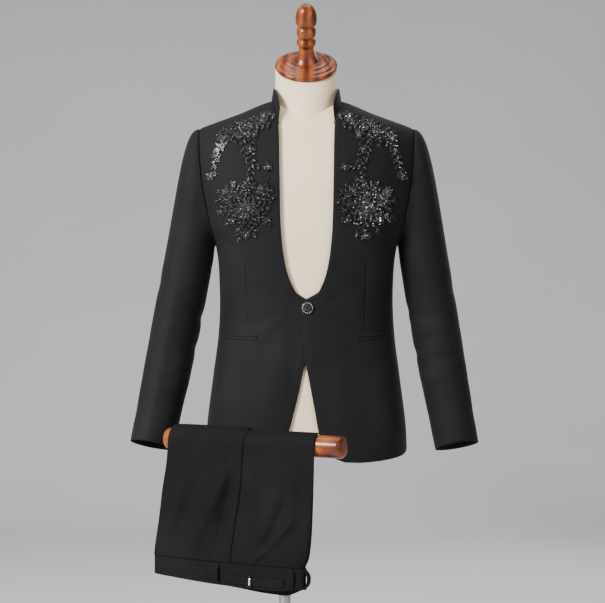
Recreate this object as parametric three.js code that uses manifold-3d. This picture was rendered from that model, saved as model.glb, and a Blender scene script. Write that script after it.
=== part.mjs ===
// A business suit: a stand-collar jacket with a deep round front opening, on a limbless
// dress form, with its trousers hung over the wooden rod of the same stand.
// Millimetres, +Z up, the front of the jacket looks along -Y. The origin is the middle of
// the underside of the round base, on the axis of the pole. Left and right are the wearer's:
// the wearer's left of the jacket is at +X.
import * as THREE from 'three';
import Module from 'manifold-3d';

const wasm = await Module();
wasm.setup();

// Seams and cloth
const SEAM = 0.3;
const CLOTH = 2;
const LAID_GAP = 0.5;
const APPLIQUE_GAP = 0.8;

// Stand
const FORM_X = 44;
const BASE_RADIUS = 190;
const BASE_HEIGHT = 15;
const POLE_RADIUS = 12;
const FORM_BOTTOM = 742;
const ROD_RADIUS = 20.75;
const ROD_LENGTH = 384;
const ROD_CENTRE = { x: -58, y: -225, z: 753 };
const ROD_YAW = THREE.MathUtils.degToRad(-28);

// Jacket body
const ROUNDNESS = 2.4;
const SIDE_HEM_Z = 726;
const ARMPIT_Z = 1134;
const SHOULDER_TIP_Z = 1373;
const NECK_POINT_Z = 1429;
const NECK_POINT_X = 72;
const NECK_BACK_DEPTH = 70;
const ARMHOLE_STEPS = 12;
const ARMHOLE_SPREAD = 0.52;
const ARMHOLE_ROUND = 70;
const ARMHOLE_GAP = 0.7;

// Half-width and depths of the jacket from its middle plane, by height.
const BODY = [
  { z: 690, half: 206, front: 125, back: 129 },
  { z: 768, half: 203, front: 121, back: 125 },
  { z: 873, half: 190, front: 112, back: 114 },
  { z: 951, half: 180.5, front: 106, back: 104 },
  { z: 1046, half: 178, front: 108, back: 103 },
  { z: 1134, half: 185.5, front: 117, back: 112 },
  { z: 1181, half: 213, front: 120, back: 118 },
  { z: 1265, half: 232, front: 116, back: 121 },
  { z: 1362, half: 240, front: 92, back: 108 },
  { z: 1440, half: 240, front: 80, back: 98 },
];

// Height of the shoulder ridge by distance from the middle.
const SHOULDER = [
  { x: 0, z: 1437 },
  { x: 72, z: 1429 },
  { x: 138, z: 1403 },
  { x: 210, z: 1377 },
  { x: 218, z: 1373 },
  { x: 240, z: 1364 },
];

const SHOULDER_ROUND = { neck: 72, tip: 56 };
const SEAM_SEARCH_STEPS = 6;

// The free edge of each front: distance from the middle towards its own side, by height.
const OVER_EDGE = [
  { z: 703, x: 76 }, { z: 712, x: 55 }, { z: 730, x: 38 }, { z: 758, x: 25 },
  { z: 802, x: 16.6 }, { z: 846, x: 8.3 }, { z: 907, x: -3 }, { z: 960, x: -9 },
  { z: 1005, x: -12.5 }, { z: 1015, x: -11 }, { z: 1023, x: -3 }, { z: 1031, x: 11 },
  { z: 1039, x: 24 }, { z: 1084, x: 41 }, { z: 1155, x: 50 }, { z: 1257, x: 53 },
  { z: 1357, x: 55 }, { z: 1375, x: 57 }, { z: 1400, x: 63 }, { z: 1418, x: 69 },
  { z: 1429, x: 72 },
];
const UNDER_EDGE = [
  { z: 703, x: 84 }, { z: 712, x: 66 }, { z: 735, x: 48 }, { z: 766, x: 34.6 },
  { z: 802, x: 24.7 }, { z: 846, x: 13.7 }, { z: 879, x: 7 }, { z: 907, x: -2 },
  { z: 930, x: -12 }, { z: 960, x: -15 }, { z: 1003, x: -15 }, { z: 1015, x: -11 },
  { z: 1023, x: -2 }, { z: 1031, x: 11 }, { z: 1039, x: 22 }, { z: 1084, x: 40 },
  { z: 1155, x: 50 }, { z: 1257, x: 53 }, { z: 1357, x: 55 }, { z: 1375, x: 57 },
  { z: 1400, x: 63 }, { z: 1418, x: 69 }, { z: 1429, x: 72 },
];
const LAP_DEPTH = 2.9;

// Hem heights from the front edge (0) to the side seam (1), and from the centre back (0).
const FRONT_HEM = [
  { u: 0, z: 703.5 }, { u: 0.15, z: 702 }, { u: 0.45, z: 706 }, { u: 0.75, z: 713 }, { u: 1, z: SIDE_HEM_Z },
];
const BACK_HEM = [{ u: 0, z: 716 }, { u: 0.5, z: 718 }, { u: 1, z: SIDE_HEM_Z }];

// Heights, at the side seam, of the rows of the body panels below the armhole.
const FRONT_ROWS = [726, 733, 744, 760, 795, 850, 905, 955, 988, 1004, 1012, 1021, 1034, 1060, 1098];
const BACK_ROWS = [726, 765, 825, 890, 955, 1020, 1080];
const FRONT_COLUMNS = 9;
const BACK_NECK_COLUMNS = 4;
const BACK_COLUMNS = 10;

// Sleeve: middle line and half-sizes, by distance down from the armpit level.
const SLEEVE_TOP = { x: 240.5, y: 0, z: 1108 };
const SLEEVE_LENGTH = 383;
const SLEEVE_LEAN = { left: 9.3, right: 10.6 };
const SLEEVE = [
  { t: 0, forward: 0, wide: 49.5, deep: 63 },
  { t: 60, forward: 0, wide: 50, deep: 60 },
  { t: 130, forward: 3, wide: 50, deep: 56 },
  { t: 190, forward: 10, wide: 49, deep: 53 },
  { t: 250, forward: 22, wide: 47.5, deep: 49 },
  { t: 320, forward: 38, wide: 45.5, deep: 46 },
  { t: 383, forward: 54, wide: 44, deep: 44.5 },
];
const SLEEVE_HEAD_STEPS = [0, 0.08, 0.2, 0.38, 0.58, 0.8];
const SLEEVE_TUBE_STEPS = [0, 60, 120, 155, 190, 235, 285, 335, SLEEVE_LENGTH];
// Soft cross folds of the sleeve: place down the sleeve, angle where deepest, depth.
const SLEEVE_FOLDS = [
  { t: 120, angle: 60, deep: 2.4 },
  { t: 180, angle: 20, deep: 3 },
  { t: 245, angle: 90, deep: 2 },
];

// Collar: rise of its top edge above the neckline.
const COLLAR_RISE = { front: 33, neckPoint: 25, back: 38 };
const COLLAR_LEAN = 0.94;
const COLLAR_CLOSE = 0.9;
const NECK_FRONT_DEPTH = 92;

// Beaded applique on each front: the edges of its ground by height, from the middle outwards.
const APPLIQUE = [
  { z: 1132, near: 114, far: 124 }, { z: 1142, near: 100, far: 136 }, { z: 1155, near: 78, far: 150 },
  { z: 1172, near: 63, far: 166 }, { z: 1190, near: 70, far: 174 }, { z: 1205, near: 61, far: 170 },
  { z: 1222, near: 66, far: 158 }, { z: 1238, near: 86, far: 156 }, { z: 1250, near: 104, far: 174 },
  { z: 1262, near: 100, far: 189 }, { z: 1275, near: 93, far: 192 }, { z: 1295, near: 82, far: 184 },
  { z: 1315, near: 88, far: 170 }, { z: 1335, near: 84, far: 182 }, { z: 1352, near: 68, far: 174 },
  { z: 1368, near: 61, far: 154 }, { z: 1384, near: 64, far: 124 }, { z: 1394, near: 70, far: 100 },
];
const APPLIQUE_THICK = 1.5;
const APPLIQUE_ROWS = 26;
const APPLIQUE_COLUMNS = 5;

// Pocket welts
const WELT = { inner: 98, outer: 174, innerZ: 948, outerZ: 952, height: 12, thick: 1.2 };

// Button
const BUTTON = { x: 1.8, z: 1007, radius: 12 };

// Trousers, in the rod's own frame: s along the rod, n towards the viewer, path length
// from the line over the top of the rod down to the waist.
const OVER_ROD = 21.6;
const TROUSER_CLOTH = 1.6;
const LAYER_GAP = 0.2;
const SEAT_DROP = 222;
const WAISTBAND_HEIGHT = 40;
const SEAT_WIDTH = [
  { v: 0, left: -170, right: 141, seam: -2 },
  { v: 0.12, left: -172, right: 143, seam: -5 },
  { v: 0.3, left: -176, right: 142.5, seam: -8 },
  { v: 0.52, left: -187, right: 141, seam: -11 },
  { v: 0.76, left: -195, right: 138, seam: -17 },
  { v: 0.93, left: -202, right: 132, seam: -21 },
  { v: 1, left: -204, right: 124, seam: -22 },
];
const WAIST_DEPTH = 21;
const WAIST_ROUND = 2.5;
const LEFT_LIFT = 4.4;
const LEG_GAP = { left: -42, right: -10 };
const LEG_DROPS = [190, 172, 160, 148];
const LEG_OUTER = { left: -158, right: 100 };
const LEG_FOLD_GAP = 0.7;

const INK = 0x17171b;
const materials = {
  cloth: (name) => new THREE.MeshStandardMaterial({ name, color: INK, roughness: 0.85, metalness: 0 }),
  beadwork: () =>
    new THREE.MeshStandardMaterial({ name: 'beadwork', color: 0x2a2b30, roughness: 0.35, metalness: 0.1 }),
  jet: () => new THREE.MeshStandardMaterial({ name: 'jet', color: 0x0b0b0d, roughness: 0.15, metalness: 0 }),
  form: () => new THREE.MeshStandardMaterial({ name: 'form', color: 0xe6dbc6, roughness: 0.8, metalness: 0 }),
  wood: (name) => new THREE.MeshStandardMaterial({ name, color: 0x8e4216, roughness: 0.3, metalness: 0 }),
  chrome: (name) => new THREE.MeshStandardMaterial({ name, color: 0xc8cbd0, roughness: 0.2, metalness: 1 }),
};

// Smooth curve through one column of a table, whose rows go up in their key column.
function valueAt(rows, column, at, key = 'z') {
  const last = rows.length - 1;
  if (at <= rows[0][key]) return rows[0][column];
  if (at >= rows[last][key]) return rows[last][column];
  const i = rows.findIndex((row) => row[key] > at) - 1;
  const slope = (j) => {
    const a = rows[Math.max(j - 1, 0)];
    const b = rows[Math.min(j + 1, last)];
    return (b[column] - a[column]) / (b[key] - a[key]);
  };
  const span = rows[i + 1][key] - rows[i][key];
  const t = (at - rows[i][key]) / span;
  const t2 = t * t;
  const t3 = t2 * t;
  return (
    (2 * t3 - 3 * t2 + 1) * rows[i][column] +
    (t3 - 2 * t2 + t) * span * slope(i) +
    (3 * t2 - 2 * t3) * rows[i + 1][column] +
    (t3 - t2) * span * slope(i + 1)
  );
}

function mix(a, b, t) {
  return a + (b - a) * t;
}

function smoothStep(t) {
  const c = Math.min(1, Math.max(0, t));
  return c * c * (3 - 2 * c);
}

// A closed mesh from points and triangles, with its faces turned outwards.
function closedGeometry(points, triangles) {
  let volume = 0;
  for (const [a, b, c] of triangles) {
    const [p, q, r] = [points[a], points[b], points[c]];
    volume += p[0] * (q[1] * r[2] - q[2] * r[1]);
    volume += p[1] * (q[2] * r[0] - q[0] * r[2]);
    volume += p[2] * (q[0] * r[1] - q[1] * r[0]);
  }
  const index = volume < 0 ? triangles.map(([a, b, c]) => [a, c, b]) : triangles;
  const geometry = new THREE.BufferGeometry();
  geometry.setAttribute('position', new THREE.BufferAttribute(new Float32Array(points.flat()), 3));
  geometry.setIndex(index.flat());
  geometry.computeVertexNormals();
  return geometry;
}

// A wall between an outer and an inner grid of points, closed along its edges. With loop
// the columns run round into a tube.
function wall(outer, inner, loop = false) {
  const rows = outer.length;
  const columns = outer[0].length;
  const points = [...outer.flat(), ...inner.flat()];
  const skin = rows * columns;
  const at = (layer, r, c) => layer * skin + r * columns + (c % columns);
  const triangles = [];
  const quad = (a, b, c, d) => triangles.push([a, b, c], [a, c, d]);
  const spans = loop ? columns : columns - 1;
  for (let r = 0; r < rows - 1; r += 1) {
    for (let c = 0; c < spans; c += 1) {
      quad(at(0, r, c), at(0, r, c + 1), at(0, r + 1, c + 1), at(0, r + 1, c));
      quad(at(1, r, c), at(1, r + 1, c), at(1, r + 1, c + 1), at(1, r, c + 1));
    }
  }
  for (let c = 0; c < spans; c += 1) {
    quad(at(1, 0, c), at(1, 0, c + 1), at(0, 0, c + 1), at(0, 0, c));
    quad(at(0, rows - 1, c), at(0, rows - 1, c + 1), at(1, rows - 1, c + 1), at(1, rows - 1, c));
  }
  if (!loop) {
    for (let r = 0; r < rows - 1; r += 1) {
      quad(at(0, r, 0), at(0, r + 1, 0), at(1, r + 1, 0), at(1, r, 0));
      const last = columns - 1;
      quad(at(1, r, last), at(1, r + 1, last), at(0, r + 1, last), at(0, r, last));
    }
  }
  return closedGeometry(points, triangles);
}

// A solid from rings of points, with a flat or pointed end at each side.
function ringSolid(rings, first, last) {
  const columns = rings[0].length;
  const points = [...rings.flat(), first, last];
  const triangles = [];
  rings.slice(0, -1).forEach((_, r) => {
    for (let c = 0; c < columns; c += 1) {
      const d = (c + 1) % columns;
      triangles.push([r * columns + c, r * columns + d, (r + 1) * columns + d]);
      triangles.push([r * columns + c, (r + 1) * columns + d, (r + 1) * columns + c]);
    }
  });
  const top = (rings.length - 1) * columns;
  for (let c = 0; c < columns; c += 1) {
    const d = (c + 1) % columns;
    triangles.push([points.length - 2, d, c]);
    triangles.push([points.length - 1, top + c, top + d]);
  }
  return closedGeometry(points, triangles);
}

// A turned solid about Z from rows of radius and height.
function turned(profile, segments) {
  const rings = profile.map(({ r, h }) =>
    Array.from({ length: segments }, (_, i) => {
      const angle = (2 * Math.PI * i) / segments;
      return [r * Math.cos(angle), r * Math.sin(angle), h];
    }),
  );
  return ringSolid(rings, [0, 0, profile[0].h], [0, 0, profile[profile.length - 1].h]);
}

// Share of the depth left at a place across a rounded section, from 1 in the middle to 0.
function sectionShare(x, half, power) {
  const share = Math.min(1, Math.abs(x) / half);
  return Math.pow(Math.max(0, 1 - Math.pow(share, power)), 1 / power);
}

// A power that keeps the sign of its number.
function signedPower(value, power) {
  return Math.sign(value) * Math.pow(Math.abs(value), power);
}

function toManifold(geometry) {
  return new wasm.Manifold(
    new wasm.Mesh({
      numProp: 3,
      vertProperties: new Float32Array(geometry.attributes.position.array),
      triVerts: new Uint32Array(geometry.index.array),
    }),
  );
}

function joined(geometries) {
  const solid = geometries.map(toManifold).reduce((sum, next) => sum.add(next));
  const mesh = solid.getMesh();
  const geometry = new THREE.BufferGeometry();
  geometry.setAttribute('position', new THREE.BufferAttribute(new Float32Array(mesh.vertProperties), 3));
  geometry.setIndex(Array.from(mesh.triVerts));
  geometry.computeVertexNormals();
  return geometry;
}

function piece(name, geometry, material) {
  const mesh = new THREE.Mesh(geometry, material);
  mesh.name = name;
  return mesh;
}

// Jacket body: the depth of the form of the jacket at a place across and up, on one face.
// The top rolls over to the shoulder ridge. An inset moves the whole form inwards.
function bodyDepth(face, x, z, inset) {
  const half = valueAt(BODY, 'half', z) - inset;
  const deep = valueAt(BODY, face, z) - inset;
  return deep * sectionShare(x, half, ROUNDNESS) * shoulderRoll(x, z, inset);
}

function shoulderRoll(x, z, inset) {
  const ridge = valueAt(SHOULDER, 'z', Math.abs(x), 'x') - inset;
  const round = mix(SHOULDER_ROUND.neck, SHOULDER_ROUND.tip, Math.min(1, Math.abs(x) / 218));
  const drop = Math.min(1, Math.max(0, (ridge - z) / round));
  return Math.sqrt(1 - (1 - drop) * (1 - drop));
}

function angleOf(x, z, inset) {
  const half = valueAt(BODY, 'half', z) - inset;
  return Math.sign(x) * Math.asin(Math.pow(Math.min(1, Math.abs(x) / half), ROUNDNESS / 2));
}

function acrossOf(angle, z, inset) {
  const half = valueAt(BODY, 'half', z) - inset;
  return Math.sign(angle) * half * Math.pow(Math.abs(Math.sin(angle)), 2 / ROUNDNESS);
}

// Angle at which a body panel ends: the side seam below, the armhole above.
function armholeAngle(z) {
  if (z <= ARMPIT_Z) return Math.PI / 2;
  const climb = Math.min(1, (z - ARMPIT_Z) / ARMHOLE_ROUND);
  const spread = ARMHOLE_SPREAD * Math.sqrt(1 - (1 - climb) * (1 - climb));
  return Math.acos(Math.pow(spread, ROUNDNESS / 2));
}

const ARMHOLE_MIDDLE = (ARMPIT_Z + SHOULDER_TIP_Z) / 2;
const ARMHOLE_HALF = (SHOULDER_TIP_Z - ARMPIT_Z) / 2;
const ARMHOLE_ROWS = Array.from(
  { length: ARMHOLE_STEPS + 1 },
  (_, k) => ARMHOLE_MIDDLE - ARMHOLE_HALF * Math.cos((Math.PI * k) / ARMHOLE_STEPS),
);

// Point of one body panel. Height and angle come first; the roll and depth follow.
function bodyPoint(side, face, angle, z, inset) {
  const x = acrossOf(angle, z, inset);
  const y = bodyDepth(face, x, z, inset) + SEAM / 2;
  return [side * x, face === 'front' ? -y : y, z];
}

const TIP_ANGLE = armholeAngle(SHOULDER_TIP_Z);

// Height of the shoulder seam at an angle: found by steps, as the place across depends on it.
function seamHeight(angle, inset) {
  let z = NECK_POINT_Z;
  for (let step = 0; step < SEAM_SEARCH_STEPS; step += 1) {
    z = valueAt(SHOULDER, 'z', acrossOf(angle, z, inset), 'x') - inset;
  }
  return z;
}

// Front panel: columns from the free edge to the side, rows from the hem to the shoulder.
function frontGrid(side, edge, lap, inset) {
  const rows = [...FRONT_ROWS, ...ARMHOLE_ROWS];
  const neckAngle = angleOf(NECK_POINT_X, NECK_POINT_Z, 0);
  return rows.map((sideZ) => {
    const v = (sideZ - SIDE_HEM_Z) / (SHOULDER_TIP_Z - SIDE_HEM_Z);
    const edgeZ = mix(valueAt(FRONT_HEM, 'z', 0, 'u'), NECK_POINT_Z, v);
    const freeAngle = angleOf(valueAt(edge, 'x', edgeZ), edgeZ, 0);
    return Array.from({ length: FRONT_COLUMNS + 1 }, (_, c) => {
      const u = Math.pow(c / FRONT_COLUMNS, 1.08);
      const top = seamHeight(mix(neckAngle, TIP_ANGLE, u), inset);
      const z = mix(valueAt(FRONT_HEM, 'z', u, 'u'), top, v);
      const angle = mix(freeAngle, armholeAngle(sideZ), u);
      const ownX = acrossOf(angle, z, 0);
      const tuck = lap * smoothStep((50 - ownX) / 30) * smoothStep((1052 - z) / 22);
      return bodyPoint(side, 'front', angle, z, inset + tuck);
    });
  });
}

// Back panel: columns from the centre seam along the neckline to the shoulder and side.
function backGrid(side, inset) {
  const rows = [...BACK_ROWS, ...ARMHOLE_ROWS];
  const neckAngle = angleOf(NECK_POINT_X, NECK_POINT_Z, 0);
  const seamAngle = angleOf(SEAM / 2, NECK_POINT_Z, 0);
  return rows.map((sideZ) => {
    const v = (sideZ - SIDE_HEM_Z) / (SHOULDER_TIP_Z - SIDE_HEM_Z);
    return Array.from({ length: BACK_COLUMNS + 1 }, (_, c) => {
      const topAngle =
        c <= BACK_NECK_COLUMNS
          ? mix(seamAngle, neckAngle, c / BACK_NECK_COLUMNS)
          : mix(neckAngle, TIP_ANGLE, (c - BACK_NECK_COLUMNS) / (BACK_COLUMNS - BACK_NECK_COLUMNS));
      const u = (topAngle - seamAngle) / (TIP_ANGLE - seamAngle);
      const topX = acrossOf(topAngle, NECK_POINT_Z, 0);
      const top = c < BACK_NECK_COLUMNS ? necklineHeight(topX) - inset : seamHeight(topAngle, inset);
      const z = mix(valueAt(BACK_HEM, 'z', u, 'u'), top, v);
      const angle = mix(angleOf(SEAM / 2, z, 0), armholeAngle(z), u);
      const point = bodyPoint(side, 'back', angle, z, inset);
      if (c === 0) point[0] = (side * SEAM) / 2;
      return point;
    });
  });
}

// Height at which the back reaches the round of the neck.
function necklineHeight(x) {
  const ridge = valueAt(SHOULDER, 'z', x, 'x');
  const reach = NECK_BACK_DEPTH * Math.sqrt(Math.max(0, 1 - (x / NECK_POINT_X) ** 2));
  const share = reach / valueAt(BODY, 'back', NECK_POINT_Z);
  return ridge - SHOULDER_ROUND.neck * (1 - Math.sqrt(1 - share * share));
}

function jacketFront(side, edge, lap) {
  return wall(frontGrid(side, edge, lap, 0), frontGrid(side, edge, lap, CLOTH));
}

function jacketBack(side) {
  return wall(backGrid(side, 0), backGrid(side, CLOTH));
}

// Points moved square to a tube-like grid, towards its inside.
function inwards(grid, distance) {
  const columns = grid[0].length;
  return grid.map((row, r) => {
    const centre = new THREE.Vector3();
    row.forEach((point) => centre.add(new THREE.Vector3(...point)));
    centre.divideScalar(columns);
    return row.map((point, c) => {
      const here = new THREE.Vector3(...point);
      const along = new THREE.Vector3(...grid[Math.min(r + 1, grid.length - 1)][c])
        .sub(new THREE.Vector3(...grid[Math.max(r - 1, 0)][c]));
      const previous = new THREE.Vector3(...row[(c + columns - 1) % columns]);
      const round = new THREE.Vector3(...row[(c + 1) % columns]).sub(previous);
      const normal = along.cross(round).normalize();
      if (normal.dot(centre.clone().sub(here)) < 0) normal.negate();
      return here.addScaledVector(normal, distance).toArray();
    });
  });
}

// Round of the armhole: up its front edge and down its back edge, just off the body.
function armholeRing(side, inset) {
  const front = ARMHOLE_ROWS.map((z) => ({ z, face: 'front' }));
  const back = [...ARMHOLE_ROWS].reverse().slice(1, -1).map((z) => ({ z, face: 'back' }));
  return [...front, ...back].map(({ z, face }, i) => {
    const turn = (2 * Math.PI * i) / (2 * ARMHOLE_STEPS);
    const top = z - inset * smoothStep((z - 1330) / (SHOULDER_TIP_Z - 1330));
    const angle = armholeAngle(z);
    const point = bodyPoint(side, face, angle, top, inset);
    const onwards = new THREE.Vector3(
      side * (0.86 * Math.abs(Math.sin(turn)) + Math.max(0, -Math.cos(turn))),
      0.5 * Math.sin(turn),
      Math.max(0, Math.cos(turn)),
    ).normalize();
    if (z === ARMPIT_Z || z === SHOULDER_TIP_Z) point[1] = 0;
    return new THREE.Vector3(...point).addScaledVector(onwards, ARMHOLE_GAP).toArray();
  });
}

// Ring of the sleeve tube square to its middle line.
function sleeveRing(side, lean, t) {
  const centre = (d) =>
    new THREE.Vector3(
      SLEEVE_TOP.x + d * Math.sin(lean),
      SLEEVE_TOP.y - valueAt(SLEEVE, 'forward', d, 't'),
      SLEEVE_TOP.z - d * Math.cos(lean),
    );
  const down = centre(Math.min(t + 8, SLEEVE_LENGTH)).sub(centre(Math.max(t - 8, 0))).normalize();
  const out = new THREE.Vector3(Math.cos(lean), 0, Math.sin(lean));
  const front = new THREE.Vector3().crossVectors(down, out).normalize();
  if (front.y > 0) front.negate();
  const columns = 2 * ARMHOLE_STEPS;
  return Array.from({ length: columns }, (_, i) => {
    const turn = (2 * Math.PI * i) / columns;
    const fold = SLEEVE_FOLDS.reduce((sum, f) => {
      const near = Math.exp(-(((t - f.t) / 22) ** 2));
      return sum + f.deep * near * Math.max(0, Math.cos(turn - THREE.MathUtils.degToRad(f.angle))) ** 2;
    }, 0);
    const point = centre(t)
      .addScaledVector(out, -(valueAt(SLEEVE, 'wide', t, 't') - fold) * Math.cos(turn))
      .addScaledVector(front, (valueAt(SLEEVE, 'deep', t, 't') - fold) * Math.sin(turn));
    return [side * point.x, point.y, point.z];
  });
}

// Sleeve head: each line runs from the armhole over the shoulder or under the arm into
// the tube, as one curve that leaves the armhole outwards and meets the tube along it.
function sleeveHeadPoint(side, lean, start, end, turn, t) {
  const high = (1 - Math.cos(turn)) / 2;
  const leave = new THREE.Vector3(
    side * mix(0.95, 1, high),
    -0.15 * Math.sin(turn),
    mix(-0.1, 0.03, high),
  ).normalize();
  const down = new THREE.Vector3(side * Math.sin(lean), 0, -Math.cos(lean));
  const a = new THREE.Vector3(...start);
  const d = new THREE.Vector3(...end);
  const gap = a.distanceTo(d);
  const b = a.clone().addScaledVector(leave, mix(4, 32, high));
  const c = d.clone().addScaledVector(down, -0.6 * gap);
  const s = 1 - t;
  return a
    .multiplyScalar(s * s * s)
    .addScaledVector(b, 3 * s * s * t)
    .addScaledVector(c, 3 * s * t * t)
    .addScaledVector(d, t * t * t)
    .toArray();
}

function sleeve(side, leanDegrees) {
  const lean = THREE.MathUtils.degToRad(leanDegrees);
  const ring = armholeRing(side, 0);
  const first = sleeveRing(side, lean, 0);
  const head = SLEEVE_HEAD_STEPS.map((t) =>
    ring.map((start, i) => sleeveHeadPoint(side, lean, start, first[i], (2 * Math.PI * i) / ring.length, t)),
  );
  const tube = SLEEVE_TUBE_STEPS.map((t) => sleeveRing(side, lean, t));
  const outer = [...head, ...tube];
  const inner = inwards(outer, CLOTH);
  inner[0] = armholeRing(side, CLOTH);
  return wall(outer, inner, true);
}

// Stand collar along the neckline, from one front edge round the back to the other.
function collar() {
  const neckRows = 5;
  const front = frontGrid(1, OVER_EDGE, 0, 0).slice(-neckRows).map((row) => row[0]);
  const back = backGrid(1, 0).at(-1).slice(0, BACK_NECK_COLUMNS).reverse();
  const half = [...front, ...back];
  half[half.length - 1][0] = 0;
  half[neckRows - 1][1] = 0;
  const line = [...half, ...half.slice(0, -1).reverse().map(([x, y, z]) => [-x, y, z])];
  const rise = (point) => {
    const share = Math.abs(point[1]) / (point[1] < 0 ? NECK_FRONT_DEPTH : NECK_BACK_DEPTH);
    return mix(COLLAR_RISE.neckPoint, point[1] < 0 ? COLLAR_RISE.front : COLLAR_RISE.back, share);
  };
  const surface = (inset) =>
    [0, 0.34, 0.67, 1].map((t) =>
      line.map(([x, y, z]) => {
        const inward = new THREE.Vector2(x, y + 4).normalize();
        const lift = 0.7 + t * rise([x, y, z]);
        return [
          x * mix(1, COLLAR_LEAN, t) - inward.x * (inset + 0.5),
          y * mix(1, COLLAR_CLOSE, t) - inward.y * (inset + 0.5),
          z + lift,
        ];
      }),
    );
  return wall(surface(0), surface(CLOTH));
}

// Places across the front of the jacket at even steps round its form.
function acrossSteps(near, far, z, count) {
  const [from, to] = [angleOf(near, z, 0), angleOf(far, z, 0)];
  return Array.from({ length: count + 1 }, (_, c) => acrossOf(mix(from, to, c / count), z, 0));
}

// A thin plate that follows the front of the jacket a little off its surface.
function laidPlate(side, places, gap, thick) {
  const surface = (off) =>
    places.map((row) => row.map(([x, z]) => [side * x, -(bodyDepth('front', x, z, -off) + SEAM / 2), z]));
  return wall(surface(gap + thick), surface(gap));
}

function applique(side) {
  const low = APPLIQUE[0].z;
  const high = APPLIQUE[APPLIQUE.length - 1].z;
  const places = Array.from({ length: APPLIQUE_ROWS + 1 }, (_, r) => {
    const z = mix(low, high, r / APPLIQUE_ROWS);
    const near = valueAt(APPLIQUE, 'near', z);
    const far = valueAt(APPLIQUE, 'far', z);
    return acrossSteps(near, far, z, APPLIQUE_COLUMNS).map((x) => [x, z]);
  });
  return laidPlate(side, places, APPLIQUE_GAP, APPLIQUE_THICK);
}

function pocketWelt(side) {
  const columns = acrossSteps(WELT.inner, WELT.outer, WELT.innerZ, 11);
  const places = [-0.5, 0, 0.5].map((share) =>
    columns.map((x) => {
      const along = (x - WELT.inner) / (WELT.outer - WELT.inner);
      return [x, mix(WELT.innerZ, WELT.outerZ, along) + share * WELT.height];
    }),
  );
  return laidPlate(side, places, LAID_GAP, WELT.thick);
}

function frontButton() {
  const profile = [
    { r: 10.5, h: 0 }, { r: BUTTON.radius, h: 1.2 }, { r: BUTTON.radius, h: 2.6 }, { r: 10.6, h: 3.6 },
    { r: 8.4, h: 3.2 }, { r: 7.6, h: 4 }, { r: 5.2, h: 6.2 }, { r: 3.2, h: 6.8 },
  ];
  const geometry = turned(profile, 18);
  geometry.rotateX(Math.PI / 2);
  geometry.translate(BUTTON.x, -(bodyDepth('front', BUTTON.x, BUTTON.z, 0) + SEAM / 2 + LAID_GAP), BUTTON.z);
  return geometry;
}

// Dress form
const FORM_INSET = 8;
const FORM_SIDE_POWER = 5;
const FORM_SPREAD = 0.85;
const FORM_COLUMNS = 32;
const NECK_COLUMNS = 28;
const NECK_FOOT_Y = -8;
const NECK_ROWS = [1340, 1400];
const CAP_COLUMNS = 24;
const FORM_RIDGE_INSET = CLOTH + 1.1;
const NECK_RADIUS = 63.5;
const CAP_TILT = THREE.MathUtils.degToRad(36);
const CAP_PLACE = [0, -13, 1507];
const CAP_UNDERSIDE = -13;
const FORM = [
  { z: FORM_BOTTOM, half: 192 }, { z: 760, half: 194 }, { z: 873, half: 181 }, { z: 951, half: 171.5 },
  { z: 1046, half: 169 }, { z: 1134, half: 175 }, { z: 1181, half: 184 }, { z: 1265, half: 194 },
  { z: 1362, half: 206 }, { z: 1440, half: 206 },
];

function formRidgeWidth(z) {
  let low = 0;
  let high = 240;
  const halvings = 30;
  for (let i = 0; i < halvings; i += 1) {
    const middle = (low + high) / 2;
    if (valueAt(SHOULDER, 'z', middle, 'x') - FORM_RIDGE_INSET > z) low = middle;
    else high = middle;
  }
  return low;
}

// Section of the form: the jacket's own form set in, cut square where the arms would be.
function formRing(z) {
  const ridge = formRidgeWidth(z);
  const half = Math.min(valueAt(FORM, 'half', z), ridge);
  return Array.from({ length: FORM_COLUMNS }, (_, i) => {
    const turn = (2 * Math.PI * i) / FORM_COLUMNS;
    const x = half * signedPower(Math.sin(turn), FORM_SPREAD);
    const face = Math.cos(turn) >= 0 ? 'front' : 'back';
    const deep = valueAt(BODY, face, z) - FORM_INSET;
    const edge = sectionShare(x, half, FORM_SIDE_POWER);
    const wide = valueAt(BODY, 'half', z) - FORM_INSET;
    const across = sectionShare(x, wide, ROUNDNESS);
    const y = deep * across * edge * shoulderRoll(x, z, FORM_RIDGE_INSET);
    return [x, face === 'front' ? -y : y, z];
  });
}

// A place on the tilted axis of the wooden cap.
function capAxis(height) {
  const [x, y, z] = CAP_PLACE;
  return [x, y - height * Math.sin(CAP_TILT), z + height * Math.cos(CAP_TILT)];
}

// Round of the neck about a middle point, level at its foot and tilted under the cap.
function neckRing([x, y, z], tilt) {
  return Array.from({ length: NECK_COLUMNS }, (_, i) => {
    const turn = (2 * Math.PI * i) / NECK_COLUMNS;
    const front = -NECK_RADIUS * Math.cos(turn);
    return [x + NECK_RADIUS * Math.sin(turn), y + front * Math.cos(tilt), z + front * Math.sin(tilt)];
  });
}

function torso() {
  const heights = [
    FORM_BOTTOM, 752, 800, 870, 950, 1046, 1134, 1181, 1230, 1280, 1320, 1345, 1366, 1382, 1398, 1410, 1419,
  ];
  const rings = heights.map(formRing);
  rings[0] = rings[0].map(([x, y, z]) => [x * 0.96, y * 0.94, z]);
  const body = ringSolid(rings, [0, 0, heights[0]], [0, 0, heights[heights.length - 1]]);
  const top = capAxis(CAP_UNDERSIDE - SEAM);
  const level = NECK_ROWS.map((z) => neckRing([0, NECK_FOOT_Y, z], 0));
  const neck = ringSolid([...level, neckRing(top, CAP_TILT)], [0, NECK_FOOT_Y, NECK_ROWS[0]], top);
  return joined([body, neck]);
}

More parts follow.
